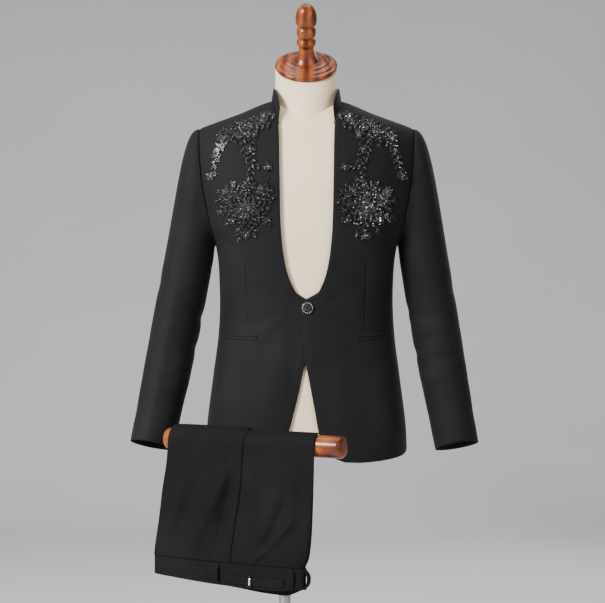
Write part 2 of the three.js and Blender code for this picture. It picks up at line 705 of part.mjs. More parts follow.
// Turned wooden cap with its finial, on the slanted top of the neck.
function neckCap() {
  const profile = [
    { r: 60, h: CAP_UNDERSIDE }, { r: 63, h: -11 }, { r: 64, h: -7 }, { r: 62.5, h: -3 }, { r: 56, h: -1.5 },
    { r: 54, h: 1 }, { r: 44, h: 3 }, { r: 42, h: 5 }, { r: 30, h: 8 }, { r: 22, h: 13 }, { r: 17, h: 24 },
    { r: 15.5, h: 36 }, { r: 19, h: 43 }, { r: 19, h: 50 }, { r: 15, h: 55 }, { r: 19.4, h: 62 },
    { r: 18.6, h: 76 }, { r: 16, h: 81 }, { r: 21.6, h: 89 }, { r: 21.8, h: 104 }, { r: 18.5, h: 119 },
    { r: 11.5, h: 129 }, { r: 4, h: 133 },
  ];
  const geometry = turned(profile, CAP_COLUMNS);
  geometry.rotateX(CAP_TILT);
  geometry.translate(...CAP_PLACE);
  return geometry;
}

function base() {
  return turned(
    [
      { r: BASE_RADIUS - 2, h: 0 }, { r: BASE_RADIUS, h: 2 }, { r: BASE_RADIUS, h: 5 },
      { r: BASE_RADIUS - 6, h: 8 }, { r: 60, h: BASE_HEIGHT - 2 }, { r: 36, h: BASE_HEIGHT },
    ],
    48,
  );
}

function pole() {
  return turned([{ r: POLE_RADIUS, h: BASE_HEIGHT + SEAM }, { r: POLE_RADIUS, h: FORM_BOTTOM - SEAM }], 28);
}

// Rod frame: s along the rod, n towards the viewer, z up.
function rodPoint(s, n, z) {
  const c = Math.cos(ROD_YAW);
  const d = Math.sin(ROD_YAW);
  return [ROD_CENTRE.x + s * c + n * d, ROD_CENTRE.y + s * d - n * c, z];
}

const ROD_COLUMNS = 28;

function trouserRod() {
  const half = ROD_LENGTH / 2;
  const rows = [
    { s: -half, r: 15 }, { s: -half + 2.5, r: 19.4 }, { s: -half + 7, r: ROD_RADIUS },
    { s: half - 7, r: ROD_RADIUS }, { s: half - 2.5, r: 19.4 }, { s: half, r: 15 },
  ];
  const rings = rows.map(({ s, r }) =>
    Array.from({ length: ROD_COLUMNS }, (_, i) => {
      const turn = (2 * Math.PI * i) / ROD_COLUMNS;
      return rodPoint(s, r * Math.sin(turn), ROD_CENTRE.z + r * Math.cos(turn));
    }),
  );
  return ringSolid(rings, rodPoint(-half, 0, ROD_CENTRE.z), rodPoint(half, 0, ROD_CENTRE.z));
}

// Bracket: a clamp ring on the pole, an arm forwards between the legs and a stem up to the rod.
const BRACKET = { z: 676, ringInner: POLE_RADIUS + 0.4, ringOuter: 21, ringHeight: 30, arm: 7, stemS: -26 };

function rodBracket() {
  const segments = 20;
  const tube = (radius) =>
    [-0.5, 0.5].map((share) =>
      Array.from({ length: segments }, (_, i) => {
        const turn = (2 * Math.PI * i) / segments;
        return [radius * Math.cos(turn), radius * Math.sin(turn), BRACKET.z + share * BRACKET.ringHeight];
      }),
    );
  const ring = wall(tube(BRACKET.ringOuter), tube(BRACKET.ringInner), true);
  const foot = new THREE.Vector3(...rodPoint(BRACKET.stemS, 0, BRACKET.z));
  const reach = Math.hypot(foot.x, foot.y);
  const start = new THREE.Vector3(foot.x, foot.y, 0).multiplyScalar(17 / reach).setZ(BRACKET.z);
  const stemTop = foot.clone().setZ(ROD_CENTRE.z - ROD_RADIUS - SEAM);
  const bar = (from, to, radius) => {
    const length = from.distanceTo(to);
    const geometry = turned([{ r: radius, h: 0 }, { r: radius, h: length }], 12);
    const turn = new THREE.Quaternion().setFromUnitVectors(
      new THREE.Vector3(0, 0, 1),
      to.clone().sub(from).normalize(),
    );
    geometry.applyQuaternion(turn);
    geometry.translate(from.x, from.y, from.z);
    return geometry;
  };
  const elbow = turned(
    Array.from({ length: 6 }, (_, i) => {
      const turn = (Math.PI * (i + 0.5)) / 6;
      return { r: 8 * Math.sin(turn), h: -8 * Math.cos(turn) };
    }),
    12,
  );
  elbow.translate(foot.x, foot.y, foot.z);
  return joined([ring, bar(start, foot, BRACKET.arm), bar(foot, stemTop, BRACKET.arm), elbow]);
}

// Trouser surface: a path over the rod and down its front, moved off by a distance.
const ARC_START = THREE.MathUtils.degToRad(8);

function hangPoint(s, length, off, radius) {
  const arc = (Math.PI / 2 - ARC_START) * radius;
  if (length < arc) {
    const turn = ARC_START + length / radius;
    return rodPoint(s, (radius + off) * Math.sin(turn), ROD_CENTRE.z + (radius + off) * Math.cos(turn));
  }
  return rodPoint(s, radius + off, ROD_CENTRE.z - (length - arc));
}

// Half the opening of the seat between its front and its back layer.
function seatOpening(u, v, lift) {
  const lifted = (lift / 2) * (1 - smoothStep((v - 0.1) / 0.5));
  const opened = Math.pow(smoothStep((v - 0.19) / 0.86), 1.1);
  return LAYER_GAP + lifted + WAIST_DEPTH * opened * sectionShare(2 * u - 1, 1, WAIST_ROUND);
}

// Depth of the folds of the front: a soft trough beside the centre seam and a slant fold
// on each side of it.
const SEAT_FOLDS = [
  { s0: -2, v0: 0.12, s1: -30, v1: 0.98, wide: 11, deep: 3.2 },
  { s0: -70, v0: 0.25, s1: -118, v1: 0.8, wide: 20, deep: -3 },
  { s0: 122, v0: 0.7, s1: 60, v1: 0.98, wide: 9, deep: -2 },
];

function seatFold(s, v) {
  return SEAT_FOLDS.reduce((sum, fold) => {
    const t = (v - fold.v0) / (fold.v1 - fold.v0);
    const middle = mix(fold.s0, fold.s1, t);
    const fade = smoothStep(t * 4) * smoothStep((1 - t) * 4);
    return sum + fold.deep * fade * Math.exp(-(((s - middle) / fold.wide) ** 2));
  }, 0);
}

const SEAT_ROWS = [0, 0.035, 0.07, 0.105, 0.14, 0.22, 0.34, 0.48, 0.62, 0.76, 0.89, 1];
const SEAT_COLUMNS = 6;

// One quarter of the seat: wearer's left is at -s. Front is the layer towards the viewer.
function seatPanel(wearerSide, face) {
  const lift = wearerSide === 'left' ? LEFT_LIFT : 0;
  const radius = OVER_ROD + TROUSER_CLOTH + LAYER_GAP + lift / 2;
  const length = (Math.PI / 2 - ARC_START) * radius + SEAT_DROP;
  const surface = (depth) =>
    SEAT_ROWS.map((v) => {
      const left = valueAt(SEAT_WIDTH, 'left', v, 'v');
      const right = valueAt(SEAT_WIDTH, 'right', v, 'v');
      const seam = valueAt(SEAT_WIDTH, 'seam', v, 'v');
      const [from, to] = wearerSide === 'left' ? [left, seam - SEAM / 2] : [seam + SEAM / 2, right];
      return Array.from({ length: SEAT_COLUMNS + 1 }, (_, c) => {
        const s = mix(from, to, c / SEAT_COLUMNS);
        const open = seatOpening((s - left) / (right - left), v, lift);
        const fold = face === 'front' ? Math.min(seatFold(s, v), open - LAYER_GAP) : 0;
        const off = face === 'front' ? open + depth - fold : -(open + depth);
        return hangPoint(s, mix(SEAM, length, v), off, radius);
      });
    });
  return wall(surface(TROUSER_CLOTH), surface(0));
}

// Loop of the waistband: a flattened round through the seat's lower edge.
const WAIST = {
  s: (valueAt(SEAT_WIDTH, 'left', 1, 'v') + valueAt(SEAT_WIDTH, 'right', 1, 'v')) / 2,
  half: (valueAt(SEAT_WIDTH, 'right', 1, 'v') - valueAt(SEAT_WIDTH, 'left', 1, 'v')) / 2,
  n: OVER_ROD + TROUSER_CLOTH + LAYER_GAP,
  top: ROD_CENTRE.z - SEAT_DROP - 0.4,
};

// The band hangs lower towards the wearer's right and lowest at the back; it is drawn in at
// the side and is a little less high on the wearer's left.
const WAIST_DROP = { front: 7, back: 22, left: -3 };
const WAIST_SIDE_INSET = 1;
const WAISTBAND_CLOTH = 2.3;

function waistPoint(turn, t, off) {
  const [across, forwards] = [Math.cos(turn), Math.sin(turn)];
  const towardsRight = smoothStep((across + 0.9) / 1.3) * (1 - 0.8 * smoothStep((across - 0.6) / 0.4));
  const low = mix(WAIST_DROP.front, WAIST_DROP.back, smoothStep(0.5 - forwards));
  const height = WAISTBAND_HEIGHT + low * towardsRight + WAIST_DROP.left;
  const s = WAIST.s + (WAIST.half - WAIST_SIDE_INSET + off) * signedPower(across, 2 / WAIST_ROUND);
  const n = WAIST.n + (WAIST_DEPTH + off) * signedPower(forwards, 2 / WAIST_ROUND);
  return rodPoint(s, n, WAIST.top - t * height);
}

function waistband() {
  const columns = 36;
  const surface = (off) =>
    [0, 0.5, 1].map((t) =>
      Array.from({ length: columns }, (_, i) => waistPoint((2 * Math.PI * (i + 0.5)) / columns, t, off)),
    );
  return wall(surface(WAISTBAND_CLOTH), surface(0), true);
}

// A strip of cloth off the waistband's front: from one place on it to another, each with
// its own stand-off.
function waistStrip(stations, thick) {
  const surface = (extra) =>
    stations.map(({ turn, low, high, off }) =>
      [low, mix(low, high, 0.5), high].map((t) => waistPoint(turn, t, WAISTBAND_CLOTH + off + extra)),
    );
  return wall(surface(thick), surface(0));
}

function turnAtS(s) {
  const share = (s - WAIST.s) / (WAIST.half - WAIST_SIDE_INSET + WAISTBAND_CLOTH);
  return Math.acos(Math.sign(share) * Math.pow(Math.abs(share), WAIST_ROUND / 2));
}

// Share of the way down the band, share of the full stand-off.
const LOOP_ROWS = [
  { t: 0.02, lift: 0 }, { t: 0.08, lift: 0 }, { t: 0.17, lift: 0.44 }, { t: 0.33, lift: 0.9 },
  { t: 0.5, lift: 1 }, { t: 0.67, lift: 0.9 }, { t: 0.83, lift: 0.44 }, { t: 0.92, lift: 0 },
  { t: 0.98, lift: 0 },
];
const LOOP_GAP = 0.45;
const LOOP_CLOTH = 1.3;

// Belt loop: a narrow upright strip, sewn at both ends and standing off between them.
function beltLoop(turn, width, standOff) {
  const broad = width / WAIST.half / Math.max(0.25, Math.sin(turn));
  const surface = (extra) =>
    LOOP_ROWS.map(({ t, lift }) => {
      const off = WAISTBAND_CLOTH + LOOP_GAP + standOff * lift + extra;
      return [-0.5, 0, 0.5].map((share) => waistPoint(turn + share * broad, t, off));
    });
  return wall(surface(LOOP_CLOTH), surface(0));
}

function waistStrap() {
  const count = 9;
  const stations = Array.from({ length: count + 1 }, (_, i) => ({
    turn: turnAtS(mix(-30, 88, i / count)), low: 0.5, high: 0.87, off: 0.5,
  }));
  return waistStrip(stations, 1.6);
}

function waistSlider() {
  const stations = Array.from({ length: 4 }, (_, i) => ({
    turn: turnAtS(mix(14, 25, i / 3)), low: 0.44, high: 0.93, off: 2.6,
  }));
  return waistStrip(stations, 1.6);
}

// Leg: a pressed pack of cloth, over the rod and folded up and down behind it.
function leg(wearerSide) {
  const lift = wearerSide === 'left' ? LEFT_LIFT : 0;
  const thick = 2 * (TROUSER_CLOTH + LAYER_GAP) + lift;
  const middle = OVER_ROD + thick / 2;
  const bend = (thick + LEG_FOLD_GAP) / 2;
  const path = [];
  const overSteps = 8;
  for (let i = 0; i <= overSteps; i += 1) {
    const turn = mix(ARC_START, -Math.PI / 2, i / overSteps);
    path.push({
      n: middle * Math.sin(turn),
      z: ROD_CENTRE.z + middle * Math.cos(turn),
      nx: Math.sin(turn),
      nz: Math.cos(turn),
    });
  }
  const bendSteps = 5;
  let n = -middle;
  let z = ROD_CENTRE.z;
  let heading = -1;
  LEG_DROPS.forEach((drop, k) => {
    const end = z + heading * drop;
    [0.33, 0.67, 1].forEach((t) => path.push({ n, z: mix(z, end, t), nx: heading, nz: 0 }));
    z = end;
    if (k === LEG_DROPS.length - 1) return;
    for (let i = 1; i <= bendSteps; i += 1) {
      const turn = (Math.PI * i) / bendSteps;
      path.push({
        n: n - bend * (1 - Math.cos(turn)),
        z: z + heading * bend * Math.sin(turn),
        nx: heading * Math.cos(turn),
        nz: Math.sin(turn),
      });
    }
    n -= 2 * bend;
    heading = -heading;
  });
  const columns = 3;
  const sign = wearerSide === 'left' ? -1 : 1;
  const seam = valueAt(SEAT_WIDTH, 'seam', 0, 'v') + (sign * SEAM) / 2;
  const edge = valueAt(SEAT_WIDTH, wearerSide, 0, 'v');
  const surface = (off) =>
    path.map((p, i) => {
      const over = smoothStep((i - 0.5) / overSteps);
      const from = mix(edge, LEG_OUTER[wearerSide], over);
      const to = mix(seam, LEG_GAP[wearerSide], over);
      return Array.from({ length: columns + 1 }, (_, c) =>
        rodPoint(mix(from, to, c / columns), p.n + p.nx * off, p.z + p.nz * off),
      );
    });
  return wall(surface(thick / 2), surface(-thick / 2));
}

function jacketGroup() {
  const group = new THREE.Group();
  group.name = 'jacket_and_form';
  group.add(
    piece('torso', torso(), materials.form()),
    piece('neck_cap', neckCap(), materials.wood('wood_cap')),
    piece('jacket_front_left', jacketFront(1, OVER_EDGE, 0), materials.cloth('front_left')),
    piece('jacket_front_right', jacketFront(-1, UNDER_EDGE, LAP_DEPTH), materials.cloth('front_right')),
    piece('jacket_back_left', jacketBack(1), materials.cloth('back_left')),
    piece('jacket_back_right', jacketBack(-1), materials.cloth('back_right')),
    piece('jacket_collar', collar(), materials.cloth('collar')),
    piece('sleeve_left', sleeve(1, SLEEVE_LEAN.left), materials.cloth('sleeve_left')),
    piece('sleeve_right', sleeve(-1, SLEEVE_LEAN.right), materials.cloth('sleeve_right')),
    piece('pocket_welt_left', pocketWelt(1), materials.cloth('welt_left')),
    piece('pocket_welt_right', pocketWelt(-1), materials.cloth('welt_right')),
    piece('applique_left', applique(1), materials.beadwork()),
    piece('applique_right', applique(-1), materials.beadwork()),
    piece('front_button', frontButton(), materials.jet()),
  );
  group.position.x = FORM_X;
  return group;
}

function trousersGroup() {
  const group = new THREE.Group();
  group.name = 'trousers';
  group.add(
    piece('trouser_front_left', seatPanel('left', 'front'), materials.cloth('trouser_front_left')),
    piece('trouser_front_right', seatPanel('right', 'front'), materials.cloth('trouser_front_right')),
    piece('trouser_back_left', seatPanel('left', 'back'), materials.cloth('trouser_back_left')),
    piece('trouser_back_right', seatPanel('right', 'back'), materials.cloth('trouser_back_right')),
    piece('trouser_waistband', waistband(), materials.cloth('waistband')),
    piece('trouser_leg_left', leg('left'), materials.cloth('leg_left')),
    piece('trouser_leg_right', leg('right'), materials.cloth('leg_right')),
    piece('belt_loop_left', beltLoop(turnAtS(-57), 14, 2.5), materials.cloth('loop_left')),
    piece('belt_loop_right', beltLoop(turnAtS(100), 14, 2.5), materials.cloth('loop_right')),
    piece('belt_loop_side', beltLoop(0.05, 10, 8), materials.cloth('loop_side')),
    piece('waist_strap', waistStrap(), materials.cloth('strap')),
    piece('waist_slider', waistSlider(), materials.chrome('slider')),
  );
  return group;
}

const suit = new THREE.Group();
suit.name = 'business_suit';
suit.add(
  piece('base', base(), materials.chrome('base')),
  piece('pole', pole(), materials.chrome('pole')),
  piece('rod_bracket', rodBracket(), materials.chrome('bracket')),
  piece('trouser_rod', trouserRod(), materials.wood('wood_rod')),
  jacketGroup(),
  trousersGroup(),
);

export default suit;
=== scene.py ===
import bpy
import numpy as np
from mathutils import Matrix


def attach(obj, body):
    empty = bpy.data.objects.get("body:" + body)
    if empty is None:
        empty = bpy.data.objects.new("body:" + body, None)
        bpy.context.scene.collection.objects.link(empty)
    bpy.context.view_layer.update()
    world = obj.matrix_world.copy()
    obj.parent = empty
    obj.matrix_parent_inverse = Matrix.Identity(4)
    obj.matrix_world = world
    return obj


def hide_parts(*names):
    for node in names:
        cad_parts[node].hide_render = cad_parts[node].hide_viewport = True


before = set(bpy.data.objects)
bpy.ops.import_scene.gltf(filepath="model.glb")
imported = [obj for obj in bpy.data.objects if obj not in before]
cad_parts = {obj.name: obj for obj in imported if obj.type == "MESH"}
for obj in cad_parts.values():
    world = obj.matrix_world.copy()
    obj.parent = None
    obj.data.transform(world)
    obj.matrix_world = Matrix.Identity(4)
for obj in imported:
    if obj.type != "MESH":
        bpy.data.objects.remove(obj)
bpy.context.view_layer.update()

MM = 0.001
rng = np.random.default_rng(7)

# Camera
CAMERA_PLACE = (0.036, -2.9, 1.02)
CAMERA_LENS = 84.2
CAMERA_SENSOR = 36
CAMERA_REACH = 60


def make_camera():
    data = bpy.data.cameras.new("camera")
    data.lens = CAMERA_LENS
    data.sensor_width = CAMERA_SENSOR
    data.clip_end = CAMERA_REACH
    camera = bpy.data.objects.new("camera", data)
    camera.location = CAMERA_PLACE
    camera.rotation_euler = (np.pi / 2, 0, 0)
    bpy.context.collection.objects.link(camera)
    bpy.context.scene.camera = camera


make_camera()

# Sizes of the stand
FORM_X = 44
BASE_HEIGHT = 15
POLE_RADIUS = 12
FORM_BOTTOM = 742
ROD_RADIUS = 20.75
ROD_LENGTH = 384
ROD_X, ROD_Y, ROD_Z = -58, -225, 753
ROD_YAW = np.radians(-28)
NECK_RADIUS = 63.5
NECK_FOOT_Y, NECK_FOOT_Z = -8, 1404
CAP_Y, CAP_Z, CAP_UNDERSIDE = -13, 1507, -13
CAP_TILT = np.radians(36)

# Sizes of the jacket, in millimetres as the tables below
ROUNDNESS = 2.4
SIDE_HEM_Z = 726
ARMPIT_Z = 1134
TIP_X, TIP_Z = 218, 1373
NECK_POINT_X, NECK_POINT_Z = 72, 1429
NECK_BACK_DEPTH = 70
ARMHOLE_SPREAD = 0.52
ARMHOLE_ROUND = 70
NECK_ROUND, TIP_ROUND = 72, 56
CLOTH = 1.3

# height, half-width, depth of the front, depth of the back
BODY = np.array([
    (690, 206, 125, 129), (768, 203, 121, 125), (873, 190, 112, 114), (951, 180.5, 106, 104),
    (1046, 178, 108, 103), (1134, 185.5, 117, 112), (1181, 213, 120, 118), (1265, 232, 116, 121),
    (1362, 240, 92, 108), (1440, 240, 80, 98),
], float)
FACE = {"front": 2, "back": 3}
# distance from the middle, height of the shoulder ridge
SHOULDER = np.array([(0, 1437), (72, 1429), (138, 1403), (210, 1377), (218, 1373), (240, 1364)], float)
# height, distance of the free edge from the middle towards its own side
OVER_EDGE = np.array([
    (703, 76), (712, 55), (730, 38), (758, 25), (802, 16.6), (846, 8.3), (907, -3), (960, -9),
    (1005, -12.5), (1015, -11), (1023, -3), (1031, 11), (1039, 24), (1084, 41), (1155, 50),
    (1257, 53), (1357, 55), (1375, 57), (1400, 63), (1418, 69), (1429, 72),
], float)
UNDER_EDGE = np.array([
    (703, 84), (712, 66), (735, 48), (766, 34.6), (802, 24.7), (846, 13.7), (879, 7), (907, -2),
    (930, -12), (960, -15), (1003, -15), (1015, -11), (1023, -2), (1031, 11), (1039, 22),
    (1084, 40), (1155, 50), (1257, 53), (1357, 55), (1375, 57), (1400, 63), (1418, 69), (1429, 72),
], float)
LAP_DEPTH = 2.9
# share of the way from the front edge or the centre back to the side seam, height of the hem
FRONT_HEM = np.array([(0, 703.5), (0.15, 702), (0.45, 706), (0.75, 713), (1, 726)], float)
BACK_HEM = np.array([(0, 716), (0.5, 718), (1, 726)], float)

# Sleeve: distance down from the armpit level, how far forwards, half-width, half-depth
SLEEVE_X, SLEEVE_Z = 240.5, 1108
SLEEVE_LENGTH = 383
SLEEVE_LEAN = {"left": np.radians(9.3), "right": np.radians(10.6)}
SLEEVE = np.array([
    (0, 0, 49.5, 63), (60, 0, 50, 60), (130, 3, 50, 56), (190, 10, 49, 53), (250, 22, 47.5, 49),
    (320, 38, 45.5, 46), (383, 54, 44, 44.5),
], float)

# Trousers, in the rod's own frame: s along the rod, n towards the viewer
OVER_ROD = 21.6
TROUSER_CLOTH = 1.6
LAYER_GAP = 0.2
SEAT_DROP = 222
WAISTBAND_HEIGHT = 40
# share of the way down, left edge, right edge, centre seam
SEAT_WIDTH = np.array([
    (0, -170, 141, -2), (0.12, -172, 143, -5), (0.3, -176, 142.5, -8), (0.52, -187, 141, -11),
    (0.76, -195, 138, -17), (0.93, -202, 132, -21), (1, -204, 124, -22),
], float)
WAIST_DEPTH = 21
WAIST_ROUND = 2.5
LEFT_LIFT = 4.4
LEG_GAP = {"left": -42, "right": -10}
LEG_OUTER = {"left": -158, "right": 100}
LEG_DROPS = (190, 172, 160, 148)
LEG_FOLD_GAP = 0.7
ARC_START = np.radians(8)


# Numbers and curves
FULL_TURN = 2 * np.pi
QUARTER_TURN = np.pi / 2


def curve(table, at, column=1):
    """Smooth cubic through one column of a table against its first column, for a whole array.
    The slope at each row is the rise between its neighbours over their distance."""
    key, value = table[:, 0], table[:, column]
    at = np.clip(np.asarray(at, float), key[0], key[-1])
    before = np.maximum(np.arange(len(key)) - 1, 0)
    after = np.minimum(np.arange(len(key)) + 1, len(key) - 1)
    slope = (value[after] - value[before]) / (key[after] - key[before])
    i = np.clip(np.searchsorted(key, at, side="right") - 1, 0, len(key) - 2)
    span = key[i + 1] - key[i]
    t = (at - key[i]) / span
    return (
        (2 * t**3 - 3 * t**2 + 1) * value[i]
        + (t**3 - 2 * t**2 + t) * span * slope[i]
        + (3 * t**2 - 2 * t**3) * value[i + 1]
        + (t**3 - t**2) * span * slope[i + 1]
    )


def mix(a, b, t):
    return a + (b - a) * t


def smooth_step(t):
    c = np.clip(t, 0, 1)
    return c * c * (3 - 2 * c)


def window(value, low, rise, high, fall):
    """1 between low and high: it climbs over one length after low and falls over another
    before high."""
    return smooth_step((value - low) / rise) * smooth_step((high - value) / fall)


def bell(d, wide):
    """A soft ridge: 1 on its line, falling off with the square of the distance."""
    return np.exp(-((d / wide) ** 2))


def quarter_round(share):
    """A quarter of a circle: it climbs steeply from 0 and is level at 1."""
    return np.sqrt(1 - (1 - share) ** 2)


def signed_power(value, power):
    return np.sign(value) * np.abs(value) ** power


def flat_round(share, power):
    """One side of a flattened round, for a share of the half-width on its other side."""
    return np.maximum(0, 1 - np.minimum(1, np.abs(share)) ** power) ** (1 / power)


def eased(count, ends=0.35):
    """Steps from 0 to 1 that lie closer together at both ends."""
    t = np.linspace(0, 1, count)
    return mix(t, (1 - np.cos(np.pi * t)) / 2, ends)


def turns(count, shift=0.0):
    """Angles evenly all round, the first at a share of one step."""
    return (np.arange(count) + shift) * FULL_TURN / count


def angle_from(turn, degrees):
    """The angle from a direction, at most half a turn either way."""
    return np.angle(np.exp(1j * (turn - np.radians(degrees))))


def lengths(points):
    """The way along a line from its first point to each of its points."""
    steps = np.linalg.norm(np.diff(points, axis=0), axis=1)
    return np.concatenate([[0], np.cumsum(steps)])


def unit(vectors):
    return vectors / np.linalg.norm(vectors, axis=-1, keepdims=True)


# Nodes
def set_inputs(node, inputs):
    """Joins each input to a socket or sets it to a plain value, by name or number."""
    for key, value in inputs.items():
        if isinstance(value, bpy.types.NodeSocket):
            node.id_data.links.new(value, node.inputs[key])
        else:
            node.inputs[key].default_value = value


def joined(tree, kind, inputs=(), **settings):
    """A node with its settings made and its inputs joined or set."""
    node = tree.nodes.new(kind)
    for key, value in settings.items():
        setattr(node, key, value)
    set_inputs(node, dict(inputs))
    return node


def plus(tree, a, b):
    return joined(tree, "ShaderNodeMath", {0: a, 1: b}, operation="ADD").outputs[0]


def minus(tree, a, b):
    return joined(tree, "ShaderNodeMath", {0: a, 1: b}, operation="SUBTRACT").outputs[0]


def times(tree, a, b):
    return joined(tree, "ShaderNodeMath", {0: a, 1: b}, operation="MULTIPLY").outputs[0]


def sine(tree, a):
    return joined(tree, "ShaderNodeMath", {0: a}, operation="SINE").outputs[0]


def ramp(tree, factor, stops):
    node = joined(tree, "ShaderNodeValToRGB", {"Fac": factor})
    elements = node.color_ramp.elements
    while len(elements) < len(stops):
        elements.new(0.5)
    for element, (place, colour) in zip(elements, stops):
        element.position = place
        element.color = (*colour, 1)
    return node.outputs["Color"]


def varied(tree, value, low, high):
    """A value from 0 to 1 carried to a range."""
    inputs = {"Value": value, "To Min": low, "To Max": high}
    return joined(tree, "ShaderNodeMapRange", inputs).outputs["Result"]


def noise(tree, place, scale, detail, **more):
    inputs = {"Vector": place, "Scale": scale, "Detail": detail, **more}
    return joined(tree, "ShaderNodeTexNoise", inputs).outputs["Fac"]


def bumped(tree, height, strength, distance):
    inputs = {"Height": height, "Strength": strength, "Distance": distance}
    return joined(tree, "ShaderNodeBump", inputs).outputs["Normal"]


def new_group(name, inputs, outputs):
    group = bpy.data.node_groups.new(name, "ShaderNodeTree")
    for label, kind, value in inputs:
        socket = group.interface.new_socket(label, in_out="INPUT", socket_type=kind)
        if value is not None:
            socket.default_value = value
    for label in outputs:
        group.interface.new_socket(label, in_out="OUTPUT", socket_type="NodeSocketFloat")
    start = group.nodes.new("NodeGroupInput").outputs
    end = group.nodes.new("NodeGroupOutput")
    return group, start, end


# Weave: ribs a metre, lean of the ribs, yarns to a rib, and the shares of yarn and nap
TWILL_RIBS = 1300.0
JERSEY_RIBS = 900.0
RIB_LEAN = 0.8
YARNS_PER_RIB = 1.7
YARN_HEIGHT = 0.35
NAP_HEIGHT = 1.5
NAP_SCALE = 260.0


def make_twill():
    """Fine diagonal ribs crossed by yarns, with a soft uneven nap. The rib height is a sine of
    the distance across the diagonal; the yarn height a sine along it."""
    group, start, end = new_group(
        "twill weave",
        [("Vector", "NodeSocketVector", None), ("Ribs per metre", "NodeSocketFloat", TWILL_RIBS)],
        ["Height", "Nap"],
    )
    parts = joined(group, "ShaderNodeSeparateXYZ", {0: start["Vector"]}).outputs
    turn = times(group, start["Ribs per metre"], FULL_TURN)
    across = plus(group, parts["X"], times(group, parts["Y"], RIB_LEAN))
    along_rib = minus(group, parts["Y"], times(group, parts["X"], RIB_LEAN))
    rib = sine(group, times(group, across, turn))
    yarn = sine(group, times(group, along_rib, times(group, turn, YARNS_PER_RIB)))
    nap = noise(group, start["Vector"], NAP_SCALE, 3.0)
    woven = plus(group, rib, times(group, yarn, YARN_HEIGHT))
    set_inputs(end, {"Height": plus(group, woven, times(group, nap, NAP_HEIGHT)), "Nap": nap})
    return group


def make_cloud():
    """Broad soft unevenness: a low noise over the surface, from 0 to 1."""
    group, start, end = new_group(
        "soft cloud",
        [("Vector", "NodeSocketVector", None), ("Scale", "NodeSocketFloat", 9.0)],
        ["Value"],
    )
    uneven = noise(group, start["Vector"], start["Scale"], 4.0)
    spread = joined(group, "ShaderNodeMapRange", {"Value": uneven, "From Min": 0.3, "From Max": 0.7})
    set_inputs(end, {"Value": spread.outputs["Result"]})
    return group


TWILL = make_twill()
CLOUD = make_cloud()


def woven_nodes(tree, ribs):
    cut = joined(tree, "ShaderNodeUVMap", uv_map="cut").outputs["UV"]
    inputs = {"Vector": cut, "Ribs per metre": ribs}
    return joined(tree, "ShaderNodeGroup", inputs, node_tree=TWILL).outputs


def cloudy(tree, place, scale):
    inputs = {"Vector": place, "Scale": scale}
    return joined(tree, "ShaderNodeGroup", inputs, node_tree=CLOUD).outputs["Value"]


# Materials
def new_material(name):
    """A material with its node tree, its shader and the place on the object."""
    material = bpy.data.materials.new(name)
    material.use_nodes = True
    tree = material.node_tree
    place = joined(tree, "ShaderNodeTexCoord").outputs["Object"]
    return material, tree, tree.nodes["Principled BSDF"], place


def suiting(name, low, high, roughness, gloss):
    """Near-black wool twill on the cut's own map: ribs in the bump, a nap and a soft cloud in
    the colour and the roughness."""
    material, tree, shader, place = new_material(name)
    weave = woven_nodes(tree, TWILL_RIBS)
    shade = plus(tree, times(tree, weave["Nap"], 0.7), times(tree, cloudy(tree, place, 7.0), 0.3))
    set_inputs(shader, {
        "Base Color": ramp(tree, shade, [(0.25, low), (0.75, high)]),
        "Roughness": varied(tree, weave["Nap"], roughness - 0.06, roughness + 0.06),
        "Sheen Weight": 0.3 * gloss,
        "Sheen Roughness": 0.45,
        "Sheen Tint": (0.75, 0.78, 0.9, 1),
        "Specular IOR Level": gloss,
        "Normal": bumped(tree, weave["Height"], 0.22, 0.00022),
    })
    return material


def jersey():
    """Cream knitted cover of the form: fine ribs and a soft uneven tone."""
    material, tree, shader, place = new_material("cream jersey")
    weave = woven_nodes(tree, JERSEY_RIBS)
    tones = [(0.0, (0.97, 0.76, 0.50)), (1.0, (0.98, 0.81, 0.58))]
    set_inputs(shader, {
        "Base Color": ramp(tree, cloudy(tree, place, 5.0), tones),
        "Roughness": 0.82,
        "Sheen Weight": 0.08,
        "Normal": bumped(tree, weave["Height"], 0.2, 0.0003),
    })
    return material


def varnished_wood(name, stretch):
    """Red-brown turned wood: long grain from a stretched noise and rings, under a clear coat."""
    material, tree, shader, place = new_material(name)
    long_way = joined(tree, "ShaderNodeMapping", {"Vector": place, "Scale": stretch}).outputs["Vector"]
    grain = noise(tree, long_way, 60.0, 6.0, Distortion=1.2)
    wave = {"Vector": long_way, "Scale": 14.0, "Distortion": 5.0, "Detail": 3.0}
    rings = joined(tree, "ShaderNodeTexWave", wave).outputs["Fac"]
    both = plus(tree, times(tree, grain, 0.65), times(tree, rings, 0.35))
    tones = [(0.25, (0.058, 0.009, 0.003)), (0.5, (0.185, 0.034, 0.007)), (0.8, (0.38, 0.100, 0.018))]
    set_inputs(shader, {
        "Base Color": ramp(tree, both, tones),
        "Roughness": varied(tree, grain, 0.24, 0.42),
        "Specular IOR Level": 0.25,
        "Coat Weight": 0.35,
        "Coat Roughness": 0.1,
        "Normal": bumped(tree, grain, 0.08, 0.0006),
    })
    return material


def polished(name, colour, roughness):
    """Plated metal with faint smears in its gloss."""
    material, tree, shader, place = new_material(name)
    set_inputs(shader, {
        "Base Color": (*colour, 1),
        "Metallic": 1.0,
        "Roughness": varied(tree, cloudy(tree, place, 22.0), roughness, roughness + 0.09),
    })
    return material


